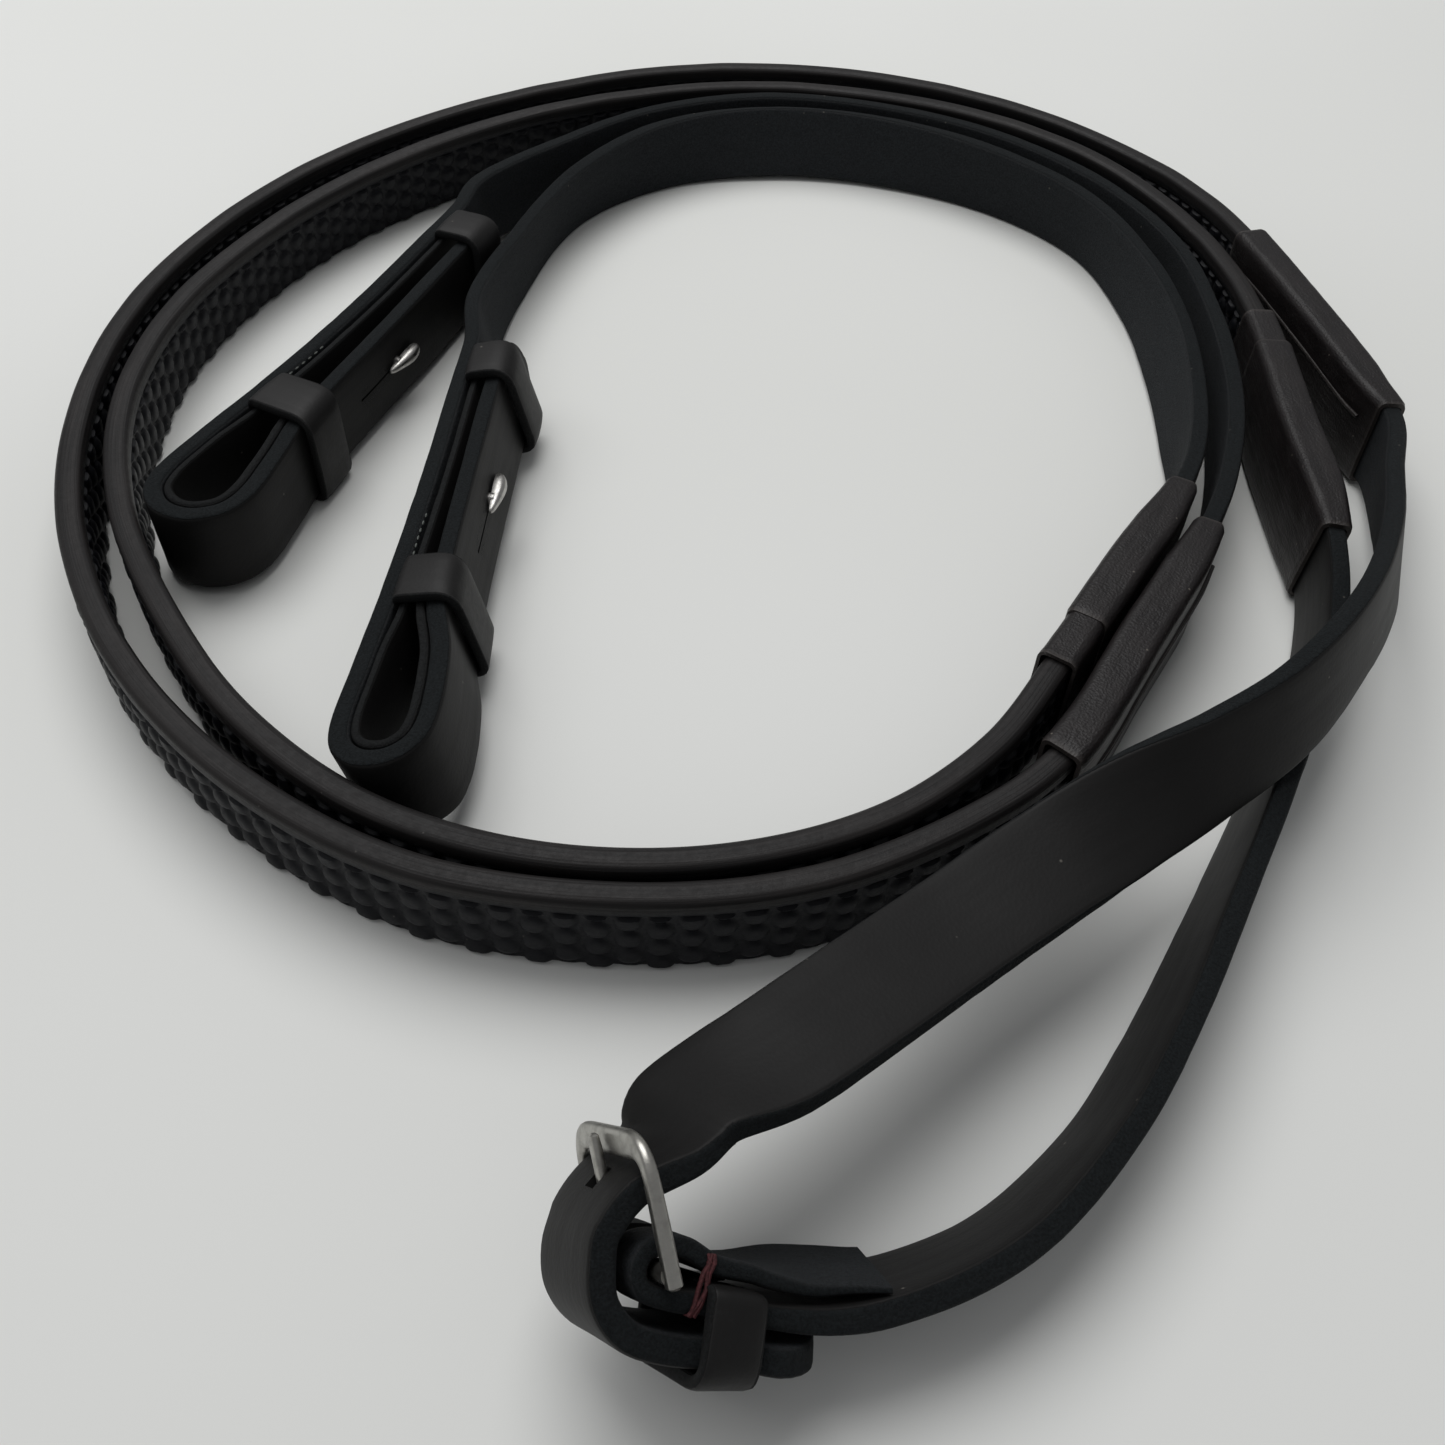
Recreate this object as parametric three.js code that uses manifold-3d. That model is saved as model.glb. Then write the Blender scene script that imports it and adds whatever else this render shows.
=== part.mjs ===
// Coiled pair of rubber-grip leather reins with hook-stud billets and a centre buckle.
// Millimetres, +Z up. The straps stand on edge on the plane Z = 0.
import * as THREE from 'three';
import { mergeVertices } from 'three/addons/utils/BufferGeometryUtils.js';
import Module from 'manifold-3d';

const wasm = await Module();
wasm.setup();

// ---- Driving dimensions ----
const STRAP_WIDTH = 16;
const STRAP_THICK = 3.3;
const LINER_THICK = 1.4;
const GRIP_HEIGHT = 16.4;
const GRIP_THICK = 5;
const CORE_HEIGHT = 12;
const CORE_THICK = 1.6;
const WRAP_WALL = 0.9;
const RUBBER_INTO_WRAP = 12;
const LOOP_END = 24;
const KEEPER_THICK = 1.2;
const KEEPER_LENGTH = 10;
const CENTRE_KEEPER_LENGTH = 8;
const POINT_LENGTH = 28;
const TAB_THICK = 0.4;
const TAB_DEPTH = 4;
const GAP = 0.3;
const KEEPER_FIT = 0.3;
const STUD_RADIUS = 1.4;
const STUD_HEAD = { foot: -3.4, nose: 7, height: 2.2, width: 2.6 };
const WASHER = { radius: 3, thick: 0.7, bevel: 0.4 };
const SLIT_LENGTH = 14;
const BAR_RADIUS = 1.1;
const FRAME_HALF_WIDTH = 11;
const RAIL_WIDTH = 1.9;
const FAR_RAIL_WIDTH = 3;
const FRAME_THICK = 1.8;
const FRAME_CORNER = 5.5;
const FRAME_INNER_CORNER = 2.2;
const TONGUE_HOLE = { length: 14, centre: 8, spare: 1.6, raise: 0.4 };
const FOLD_SLOT = { length: 9, depth: 12, centre: -1.1 };
const TONGUE_TIP = { past: 0.6, nose: 0.5, slope: 1 };
const KEEPER_SEAT = [13, -2.4];
const KEEPER_SEARCH = [90, 20];
const TONGUE_WIDTH = 1.8;
const TONGUE_THICK = 1.2;

const WRAP_HEIGHT = GRIP_HEIGHT + 2 * GAP + 2 * WRAP_WALL;
const WRAP_THICK = GRIP_THICK + 2 * GAP + 2 * WRAP_WALL;
const FLAT_Z = GRIP_HEIGHT / 2;
const RAISED_Z = WRAP_HEIGHT / 2;
const UP = new THREE.Vector3(0, 0, 1);

// Middle of the coil's footprint in the layout that the routes below are drawn in.
const LAYOUT_CENTRE = [1.75, 200.35, -0.05];

// ---- Centre buckle's own directions: its bar, along the folded strap end, and across it ----
const BUCKLE_CENTRE = new THREE.Vector3(-7, 51.3, 18.3);
const BAR_AXIS = new THREE.Vector3(0.42, -0.42, 0.8).normalize();
const CHAPE_DIR = new THREE.Vector3(0.9, 0.08, -0.43).projectOnPlane(BAR_AXIS).normalize();
const CHAPE_SIDE = new THREE.Vector3().crossVectors(BAR_AXIS, CHAPE_DIR);
const FRAME_ANGLE = THREE.MathUtils.degToRad(114);
const FRAME_LENGTH = 13.1;

// ---- Routes: [x, y, z of the strap's middle, lean in degrees] along each rein ----
// A rein starts at its billet, turns round the coil, and ends at the centre buckle.
const OUTER_ROUTE = [
  [-61, 291, RAISED_Z], [-45, 314], [-24, 333], [4, 343], [34, 340], [62, 327], [84, 305], [96, 280],
  [99, 252], [97, 222], [91, 199], [83, 181, RAISED_Z], [67, 154, RAISED_Z],
  [50, 127, RAISED_Z], [36, 115.5, 8.7], [14, 104.5], [-12, 100.3], [-42, 103.8], [-70, 118.3], [-94, 141],
  [-112, 171], [-121, 202], [-122.6, 234], [-116.4, 263.5], [-101.6, 295], [-79, 322], [-51, 342.7],
  [-18.5, 356.8], [16, 360], [49, 352.5], [76.6, 336.8], [98.8, 313.5, 8.3], [107.8, 296.3, 8.7],
  [112.3, 280, RAISED_Z], [119.2, 248, RAISED_Z], [123.3, 225, RAISED_Z + 0.1],
  [125.1, 215, RAISED_Z + 0.3], [118, 191.2, 14.5, -13], [109.3, 168.6, 20, -19],
  [95.4, 145.5, 25.7, -17], [82.4, 130.4, 25.3, -22], [70.3, 122.2, 22.2, -31],
  [58, 115.2, 19.6, -57], [46, 106.4, 18.7, -81], [32, 95, 19, -90], [18.5, 82.9, 21.6, -93],
  [7.6, 73.4, 23.4, -99],
];
const INNER_ROUTE = [
  [-53.4, 243, RAISED_Z, 7], [-50.5, 268, FLAT_Z, -3], [-39.3, 303.8, 8.3, -11],
  [-19.7, 325.6, FLAT_Z, 3], [6.2, 334.4, 8.3, 18], [33.5, 331.6, 8.3, 11],
  [60.1, 319.2, FLAT_Z, -2], [79.5, 299.4, FLAT_Z, -5], [88.5, 272, FLAT_Z, 4],
  [90.5, 246, FLAT_Z, 11], [88.9, 222.2, FLAT_Z, 8], [86, 205, 8.7], [80, 191, RAISED_Z + 0.05],
  [65.9, 168.4, RAISED_Z], [51.7, 145.6, RAISED_Z], [41.2, 130.1, 8.8], [24.6, 116.1, 8.3], [2, 107.6],
  [-24, 106.4], [-48.9, 113.3], [-71.8, 129.3], [-90.4, 151.5], [-105.6, 177.2], [-114, 205, 8.3],
  [-114.6, 234, 8.4, -4], [-106.9, 262.4, 8.5, -8], [-90.8, 292.6, 8.5, -9], [-64.6, 320.8, 8.5, -7],
  [-34, 339, 8.3], [0, 349], [32, 347], [60, 337], [82, 320], [97, 297], [105, 272, 8.7],
  [107, 248, RAISED_Z], [106, 214, RAISED_Z], [104.4, 179.8, RAISED_Z + 0.1, 2], [96.4, 152.8, 8.6, 8],
  [87.3, 135.8, 8.3, 10], [78.5, 119.7, 8.3, 13], [69.4, 103.7, 8.3, 15], [59.4, 86.7, 8.3, 19],
  [48.8, 71.7, 8.3, 23], [34.9, 58.7, 8.3, 30], [18.3, 51.6, 8.9, 35],
];

// ---- Billets: a loop at the lower end, its return strap on the right ----
// The strap's middle line: length along the billet from the loop's tip, then across it.
// A tilt in degrees tips the whole billet over to its left.
const BILLETS = {
  a: {
    origin: [-101.5, 169, RAISED_Z + 0.1],
    heading: [0.33, 0.944],
    tilt: 0,
    loop: { along: 14, across: 5.6, radius: 8.4 },
    returnSide: [[112, 8.6], [98, 8.6], [80, 9.2], [62, 9.6], [47, 9.9], [36, 10.6], [25, 12.7]],
    outerSide: [[26, -2.3], [40, -0.9], [60, 0.3], [80, 0.6], [100, 0.2], [116, -0.1]],
    linerEnd: 41,
    lowerKeeper: 35,
    upperKeeper: 101.5,
    stud: 68,
  },
  b: {
    origin: [-53.5, 116.5, RAISED_Z + 0.5],
    heading: [0.02, 1],
    tilt: 12,
    loop: { along: 10, across: 5.5, radius: 6.8 },
    returnSide: [[112, 7.6], [98, 7.6], [80, 7.7], [62, 7.8], [48, 8], [36, 8.5], [24, 11.6]],
    outerSide: [[22, -0.9], [36, -0.1], [56, 0.5], [76, 0.7], [92, 0.6], [110, 0.7]],
    linerEnd: 40,
    lowerKeeper: 34.5,
    upperKeeper: 95,
    stud: 69,
  },
};

// ---- Where each wrap starts and ends, as lengths along its rein from the billet's point ----
const REINS = {
  a: { frontWrap: [549, 612], handWrap: [1216, 1281] },
  b: { frontWrap: [557, 611], handWrap: [1215, 1282] },
};

// ---- Materials ----
function leather(color) {
  return new THREE.MeshStandardMaterial({ color, roughness: 0.55, metalness: 0 });
}
const BLACK_LEATHER = leather(0x1b1a1c);
const BROWN_LEATHER = leather(0x2a1c1c);
const RUBBER = new THREE.MeshStandardMaterial({ color: 0x171618, roughness: 0.7, metalness: 0 });
const WEB = new THREE.MeshStandardMaterial({ color: 0x2c2825, roughness: 0.95, metalness: 0 });
const STEEL = new THREE.MeshStandardMaterial({ color: 0xb9b8b2, roughness: 0.3, metalness: 1 });

// ---- Route helpers ----
function billetAxes(billet) {
  const heading = new THREE.Vector3(...billet.heading, 0).normalize();
  const upright = UP.clone().applyAxisAngle(heading, -THREE.MathUtils.degToRad(billet.tilt));
  const rightward = new THREE.Vector3().crossVectors(heading, upright);
  return { heading, rightward, upright };
}

function billetPoint(billet, along, across) {
  const { heading, rightward } = billetAxes(billet);
  return new THREE.Vector3(...billet.origin)
    .addScaledVector(heading, along)
    .addScaledVector(rightward, across);
}

function bucklePoint(along, across, height = 0) {
  return BUCKLE_CENTRE.clone()
    .addScaledVector(CHAPE_DIR, along)
    .addScaledVector(CHAPE_SIDE, across)
    .addScaledVector(BAR_AXIS, height);
}

function billetStations(billet) {
  const { along, across, radius } = billet.loop;
  const points = billet.returnSide.map(([a, b]) => billetPoint(billet, a, b));
  for (const degrees of [90, 54, 18, -18, -54, -90]) {
    const angle = THREE.MathUtils.degToRad(degrees);
    const a = along - radius * Math.cos(angle);
    points.push(billetPoint(billet, a, across + radius * Math.sin(angle)));
  }
  points.push(...billet.outerSide.map(([a, b]) => billetPoint(billet, a, b)));
  const { upright } = billetAxes(billet);
  return points.map((point) => ({ point, across: upright, thick: STRAP_THICK }));
}

function routeStations(route) {
  return route.map(([x, y, z = FLAT_Z, lean = 0]) => ({
    point: new THREE.Vector3(x, y, z),
    lean,
    thick: STRAP_THICK,
  }));
}

function buckleStations(points, barward) {
  return points.map(([a, b, thick, twist = 0]) => {
    const across = barward.clone().applyAxisAngle(CHAPE_SIDE, THREE.MathUtils.degToRad(twist));
    return { point: bucklePoint(a, b), across, thick };
  });
}

// A route is a smooth line through its stations, with the strap's width direction at each.
function makeRoute(stations) {
  const line = new THREE.CatmullRomCurve3(stations.map((s) => s.point), false, 'centripetal');
  line.arcLengthDivisions = 4000;
  const last = stations.length - 1;
  const directions = stations.map((station, i) => {
    if (station.across) {
      return station.across;
    }
    const along = line.getTangent(i / last);
    const left = new THREE.Vector3().crossVectors(UP, along).normalize();
    const upright = new THREE.Vector3().crossVectors(along, left);
    const lean = THREE.MathUtils.degToRad(station.lean);
    return upright.multiplyScalar(Math.cos(lean)).addScaledVector(left, Math.sin(lean));
  });
  const width = new THREE.CatmullRomCurve3(directions, false, 'centripetal');
  const thicks = stations.map((s) => s.thick);
  return { line, width, thicks, length: line.getLength() };
}

// The strap's middle, width direction, side direction and thickness at a length along a route.
function sectionAt(route, distance) {
  const share = THREE.MathUtils.clamp(distance / route.length, 0, 1);
  const t = route.line.getUtoTmapping(share);
  const along = route.line.getTangent(t);
  const across = route.width.getPoint(t).projectOnPlane(along).normalize();
  const side = new THREE.Vector3().crossVectors(across, along);
  const place = t * (route.thicks.length - 1);
  const i = Math.min(Math.floor(place), route.thicks.length - 2);
  const thick = THREE.MathUtils.lerp(route.thicks[i], route.thicks[i + 1], place - i);
  return { distance, centre: route.line.getPoint(t), along, across, side, thick };
}

// Lengths along a route, closer together where it bends or twists.
function stepsAlong(route, from, to) {
  const longest = 10;
  const turn = 0.16;
  const look = 0.7;
  const steps = [from];
  let last = sectionAt(route, from);
  for (let distance = from + look; distance < to - 1; distance += look) {
    const here = sectionAt(route, distance);
    const bent = here.along.angleTo(last.along) > turn || here.across.angleTo(last.across) > turn;
    if (bent || distance - last.distance > longest) {
      steps.push(distance);
      last = here;
    }
  }
  steps.push(to);
  return steps;
}

// Length along a route at which its middle line passes nearest to a point.
function nearestOn(route, point, from, to) {
  let best = from;
  let least = Infinity;
  for (let distance = from; distance <= to; distance += 0.25) {
    const away = sectionAt(route, distance).centre.distanceTo(point);
    if (away < least) {
      least = away;
      best = distance;
    }
  }
  return best;
}

// ---- Solids ----
// Sweeps an outline, in (side, width) coordinates, along a route. A hole makes it a sleeve.
function sweep(route, from, to, outlineAt, holeAt = () => []) {
  const steps = stepsAlong(route, from, to);
  const positions = [];
  const index = [];
  let outer = [];
  let inner = [];
  for (const distance of steps) {
    const section = sectionAt(route, distance);
    outer = outlineAt(section);
    inner = holeAt(section);
    for (const [s, w] of [...outer, ...inner]) {
      const corner = section.centre.clone();
      corner.addScaledVector(section.side, s).addScaledVector(section.across, w);
      positions.push(corner.x, corner.y, corner.z);
    }
  }
  const count = outer.length + inner.length;
  const wall = (start, size, inward) => {
    for (let ring = 0; ring < steps.length - 1; ring += 1) {
      for (let i = 0; i < size; i += 1) {
        const a = ring * count + start + i;
        const b = ring * count + start + ((i + 1) % size);
        const [c, d] = [a + count, b + count];
        index.push(...(inward ? [a, c, b, b, c, d] : [a, b, c, b, d, c]));
      }
    }
  };
  wall(0, outer.length, false);
  wall(outer.length, inner.length, true);
  const toVector = ([s, w]) => new THREE.Vector2(s, w);
  const holes = inner.length ? [inner.map(toVector)] : [];
  const end = (steps.length - 1) * count;
  for (const [a, b, c] of THREE.ShapeUtils.triangulateShape(outer.map(toVector), holes)) {
    index.push(a, c, b, end + a, end + b, end + c);
  }
  const geometry = new THREE.BufferGeometry();
  geometry.setAttribute('position', new THREE.Float32BufferAttribute(positions, 3));
  geometry.setIndex(index);
  geometry.computeVertexNormals();
  return geometry;
}

function rectangle(thick, height, offset = 0) {
  const [s, h] = [thick / 2, height / 2];
  return [[offset - s, -h], [offset + s, -h], [offset + s, h], [offset - s, h]];
}

function chamferedRectangle(thick, height, corner) {
  const [s, h] = [thick / 2, height / 2];
  return [
    [-s + corner, -h], [s - corner, -h], [s, -h + corner], [s, h - corner],
    [s - corner, h], [-s + corner, h], [-s, h - corner], [-s, -h + corner],
  ];
}

function strapSolid(route, from, to) {
  return sweep(route, from, to, (section) => rectangle(section.thick, STRAP_WIDTH));
}

// A fixed keeper: a band round the layers on one side of a strap, with thin ends tucked in
// at "root", measured from the strap's middle line away from the band. "turn" is the side
// that the band stands on, 1 or -1.
function keeperOutline(tabOuter, reach, turn) {
  const tabInner = tabOuter - TAB_THICK;
  const half = STRAP_WIDTH / 2 + KEEPER_FIT;
  const outer = half + KEEPER_THICK;
  const tabEnd = half - TAB_DEPTH;
  const points = [
    [tabOuter, tabEnd], [tabOuter, outer], [-reach - KEEPER_THICK, outer],
    [-reach - KEEPER_THICK, -outer], [tabOuter, -outer], [tabOuter, -tabEnd],
    [tabInner, -tabEnd], [tabInner, -half], [-reach, -half],
    [-reach, half], [tabInner, half], [tabInner, tabEnd],
  ];
  const turned = points.map(([s, w]) => [-turn * s, w]);
  return turn > 0 ? turned.reverse() : turned;
}

// How far a keeper's inside reaches from one strap's middle line to another's outer face.
function bandReach(section, other, from, to) {
  let crossing = null;
  let least = Infinity;
  for (let distance = from; distance <= to; distance += 0.25) {
    const there = sectionAt(other, distance);
    const offPlane = Math.abs(there.centre.clone().sub(section.centre).dot(section.along));
    if (offPlane < least) {
      least = offPlane;
      crossing = there;
    }
  }
  const offset = Math.abs(crossing.centre.clone().sub(section.centre).dot(section.side));
  return offset + crossing.thick / 2 + 2 * GAP;
}

function toManifold(geometry) {
  const bare = geometry.clone();
  bare.deleteAttribute('normal');
  bare.deleteAttribute('uv');
  const merged = mergeVertices(bare, 1e-4);
  return new wasm.Manifold(new wasm.Mesh({
    numProp: 3,
    vertProperties: new Float32Array(merged.attributes.position.array),
    triVerts: new Uint32Array(merged.index.array),
  }));
}

function fromManifold(solid) {
  const mesh = solid.getMesh();
  const geometry = new THREE.BufferGeometry();
  geometry.setAttribute('position', new THREE.BufferAttribute(mesh.vertProperties, 3));
  geometry.setIndex(new THREE.BufferAttribute(mesh.triVerts, 1));
  geometry.computeVertexNormals();
  return geometry;
}

function cut(geometry, ...tools) {
  const whole = toManifold(geometry);
  return fromManifold(tools.reduce((solid, tool) => solid.subtract(toManifold(tool)), whole));
}

function join(first, second) {
  return fromManifold(toManifold(first).add(toManifold(second)));
}

// Places a geometry made about the origin: its X, Y and Z along three given directions.
function placed(geometry, origin, x, y, z) {
  return geometry.applyMatrix4(new THREE.Matrix4().makeBasis(x, y, z).setPosition(origin));
}

const group = new THREE.Group();
group.position.set(-LAYOUT_CENTRE[0], -LAYOUT_CENTRE[1], -LAYOUT_CENTRE[2]);

function addPart(name, geometry, material) {
  const mesh = new THREE.Mesh(geometry, material);
  mesh.name = name;
  group.add(mesh);
}

// ---- The two reins' middle lines ----
// Along the folded end, across it, thickness and twist in degrees, with the bar as the origin.
// Outer rein's end: behind the frame, over the tongue, round the eye and back to its point.
const BUCKLED_END = [
  [3.4, 16.9, 3.2, 33], [0.9, 12, 3.2, 14], [-4.4, 7.3, 3.2, 2], [-6.5, 3.6, 3.2], [-6.8, 0, 3.2],
  [-5.7, -3.8, 3.2], [-2.6, -6.5, 3.2], [2, -7.4, 3.2], [8, -7.3, 3.2], [12, -7.2, 3.2],
];
const POINT_TAIL = [
  { point: new THREE.Vector3(7.9, 46, 9), lean: 148, thick: 3.2 },
  { point: new THREE.Vector3(12.6, 46.6, 7.9), lean: 147, thick: 3.2 },
];
// Inner rein's end: along the near side, round the bar and back, thinned to a feather edge.
const FOLDED_END = [
  [13, -3.2, 2.6], [6, -2.6, 2.6], [2, -2.7, 2.4], [-1.9, -1.9, 2.2], [-2.7, 0, 2.2],
  [-1.9, 1.9, 2.2], [2, 2.6, 2.3], [6, 1.2, 2.3], [12.5, 0.4, 1.9],
];
const TURNED_BACK_TAIL = [
  { point: new THREE.Vector3(10.3, 53.5, 11), lean: -36, thick: 1.5 },
  { point: new THREE.Vector3(16.1, 54.1, 10.1), lean: -35, thick: 1 },
];

const routes = {
  a: makeRoute([
    ...billetStations(BILLETS.a),
    ...routeStations(OUTER_ROUTE),
    ...buckleStations(BUCKLED_END, BAR_AXIS.clone().negate()),
    ...POINT_TAIL,
  ]),
  b: makeRoute([
    ...billetStations(BILLETS.b),
    ...routeStations(INNER_ROUTE),
    ...buckleStations(FOLDED_END, BAR_AXIS),
    ...TURNED_BACK_TAIL,
  ]),
};

// ---- Front strap with its billet: strap, liner, keepers and hook stud ----
function buildFrontEnd(key) {
  const billet = BILLETS[key];
  const route = routes[key];
  const loopTip = nearestOn(route, billetPoint(billet, 0, billet.loop.across), 60, 180);
  const onOuterSide = (along) => nearestOn(route, billetPoint(billet, along, 1), loopTip, 300);
  const onReturnSide = (along) => nearestOn(route, billetPoint(billet, along, 9), 0, loopTip);

  const { heading, rightward, upright } = billetAxes(billet);
  const downward = upright.clone().negate();
  const place = (geometry, origin) => placed(geometry, origin, heading, rightward, downward);
  const studOrigin = sectionAt(route, onOuterSide(billet.stud)).centre;
  const returnCentre = sectionAt(route, onReturnSide(billet.stud)).centre;
  const span = returnCentre.clone().sub(studOrigin).dot(rightward);

  const holeRadius = STUD_RADIUS + GAP;
  const studHole = place(new THREE.CylinderGeometry(holeRadius, holeRadius, 12, 16), studOrigin);
  const keyhole = new THREE.CylinderGeometry(holeRadius, holeRadius, 8, 16);
  const slit = new THREE.BoxGeometry(SLIT_LENGTH, 8, 1);
  slit.translate(-SLIT_LENGTH / 2, 0, 0);
  const slot = place(join(keyhole, slit).translate(0, span, 0), studOrigin);
  const frontEnd = (REINS[key].frontWrap[0] + REINS[key].frontWrap[1]) / 2;
  const strap = cut(strapSolid(route, 0, frontEnd), studHole, slot);
  addPart(`front_strap_${key}`, strap, BLACK_LEATHER);

  // The liner lies close round the loop, then stands off to let the keepers' ends in behind it.
  const [looseFrom, looseTo] = [onOuterSide(LOOP_END), onOuterSide(billet.lowerKeeper)];
  const linerOutline = (section) => {
    const loose = THREE.MathUtils.smoothstep(section.distance, looseFrom, looseTo);
    const behind = GAP + loose * (TAB_THICK + GAP);
    return rectangle(LINER_THICK, STRAP_WIDTH, -(section.thick / 2 + behind + LINER_THICK / 2));
  };
  const linerFrom = onReturnSide(billet.linerEnd);
  const linerTo = onOuterSide(billet.upperKeeper + KEEPER_LENGTH + 2);
  const liner = sweep(route, linerFrom, linerTo, linerOutline);
  addPart(`billet_liner_${key}`, cut(liner, studHole), BLACK_LEATHER);

  const outlineAt = (section) => {
    const reach = bandReach(section, route, 0, loopTip);
    return keeperOutline(-(section.thick / 2 + GAP), reach, -1);
  };
  for (const side of ['lower', 'upper']) {
    const from = onOuterSide(billet[`${side}Keeper`]);
    const keeper = sweep(route, from, from + KEEPER_LENGTH, outlineAt);
    addPart(`${side}_keeper_${key}`, keeper, BLACK_LEATHER);
  }
  addPart(`hook_stud_${key}`, place(hookStud(span), studOrigin), STEEL);
  addPart(`stud_washer_${key}`, place(studWasher(), studOrigin), STEEL);
}

// A hook stud: a shank through the layers, with a half-round hook lying on the return strap.
function hookStud(span) {
  const headBase = span + STRAP_THICK / 2 + GAP;
  const outerFace = -STRAP_THICK / 2 - GAP - 0.8;
  const shankLength = headBase + 1 - outerFace;
  const shank = new THREE.CylinderGeometry(STUD_RADIUS, STUD_RADIUS, shankLength, 14);
  shank.translate(0, outerFace + shankLength / 2, 0);
  const { foot, nose, height, width: depth } = STUD_HEAD;
  const profile = new THREE.Shape();
  profile.moveTo(foot, headBase);
  profile.absellipse((foot + nose) / 2, headBase, (nose - foot) / 2, height, Math.PI, 0, true);
  profile.closePath();
  const hook = new THREE.ExtrudeGeometry(profile, { depth, bevelEnabled: false, curveSegments: 8 });
  hook.translate(0, 0, -depth / 2);
  return join(shank, hook);
}

function studWasher() {
  const outerFace = -STRAP_THICK / 2 - GAP;
  const bore = STUD_RADIUS + 0.2;
  const { radius, thick, bevel } = WASHER;
  const washer = new THREE.LatheGeometry([
    new THREE.Vector2(bore, 0), new THREE.Vector2(radius, 0), new THREE.Vector2(radius - bevel, thick),
    new THREE.Vector2(bore, thick), new THREE.Vector2(bore, 0),
  ], 18);
  washer.rotateX(Math.PI);
  return washer.translate(0, outerFace, 0);
}

// ---- Rubber grip: a flat core in a rubber sleeve, held at both ends by stitched wraps ----
function buildGrip(key) {
  const route = routes[key];
  const { frontWrap, handWrap } = REINS[key];
  const coreFrom = (frontWrap[0] + frontWrap[1]) / 2 + GAP;
  const coreTo = (handWrap[0] + handWrap[1]) / 2;
  const core = sweep(route, coreFrom, coreTo, () => rectangle(CORE_THICK, CORE_HEIGHT));
  addPart(`grip_core_${key}`, core, WEB);

  const rubberOutline = () => chamferedRectangle(GRIP_THICK, GRIP_HEIGHT, 0.8);
  const rubberHole = () => rectangle(CORE_THICK + 2 * GAP, CORE_HEIGHT + 2 * GAP);
  const rubberFrom = frontWrap[1] - RUBBER_INTO_WRAP;
  const rubberTo = handWrap[0] + RUBBER_INTO_WRAP;
  addPart(`grip_rubber_${key}`, sweep(route, rubberFrom, rubberTo, rubberOutline, rubberHole), RUBBER);

  for (const [name, wrap] of [['front_wrap', frontWrap], ['hand_wrap', handWrap]]) {
    const outline = () => chamferedRectangle(WRAP_THICK, WRAP_HEIGHT, 0.7);
    const hole = () => rectangle(WRAP_THICK - 2 * WRAP_WALL, WRAP_HEIGHT - 2 * WRAP_WALL);
    addPart(`${name}_${key}`, sweep(route, ...wrap, outline, hole), BROWN_LEATHER);
  }
}

// ---- Hand straps, meeting at the centre buckle ----
const FRAME_DIR = CHAPE_DIR.clone()
  .multiplyScalar(Math.cos(FRAME_ANGLE))
  .addScaledVector(CHAPE_SIDE, Math.sin(FRAME_ANGLE));
const FRAME_FRONT = new THREE.Vector3().crossVectors(BAR_AXIS, FRAME_DIR);
const TONGUE_LEVEL = FRAME_THICK / 2 + GAP + TONGUE_THICK / 2;

function inFrame(geometry) {
  return placed(geometry, BUCKLE_CENTRE, FRAME_DIR, FRAME_FRONT, BAR_AXIS);
}

function buildHandStraps() {
  const middle = (wrap) => (wrap[0] + wrap[1]) / 2 + GAP;
  const { length, centre, spare, raise } = TONGUE_HOLE;
  const holeShape = new THREE.BoxGeometry(length, TONGUE_THICK + spare, TONGUE_WIDTH + 2 * GAP);
  holeShape.translate(centre, TONGUE_LEVEL + raise, 0);
  const outerStrap = strapSolid(routes.a, middle(REINS.a.handWrap), routes.a.length);
  addPart('hand_strap_a', cut(outerStrap, inFrame(holeShape)), BLACK_LEATHER);

  const slotShape = new THREE.BoxGeometry(FOLD_SLOT.length, FOLD_SLOT.depth, TONGUE_WIDTH + 4 * GAP);
  slotShape.translate(FOLD_SLOT.centre, 0, 0);
  const slot = placed(slotShape, BUCKLE_CENTRE, CHAPE_DIR, CHAPE_SIDE, BAR_AXIS);
  const innerStrap = strapSolid(routes.b, middle(REINS.b.handWrap), routes.b.length);
  addPart('hand_strap_b', cut(innerStrap, slot), BLACK_LEATHER);
}

// The centre keeper's ends are sewn in between the folded end's two layers, so its band goes
// round the near layer as well as the outer rein's point.
function buildCentreKeeper() {
  const { a, b } = routes;
  const [searchFrom, searchTo] = KEEPER_SEARCH.map((back) => b.length - back);
  const from = nearestOn(b, bucklePoint(...KEEPER_SEAT), searchFrom, searchTo);
  const outlineAt = (section) => {
    const reach = bandReach(section, a, a.length - POINT_LENGTH, a.length);
    return keeperOutline(section.thick / 2 + GAP + TAB_THICK, reach, 1);
  };
  const keeper = sweep(b, from, from + CENTRE_KEEPER_LENGTH, outlineAt);
  addPart('centre_keeper', keeper, BLACK_LEATHER);
}

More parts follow.
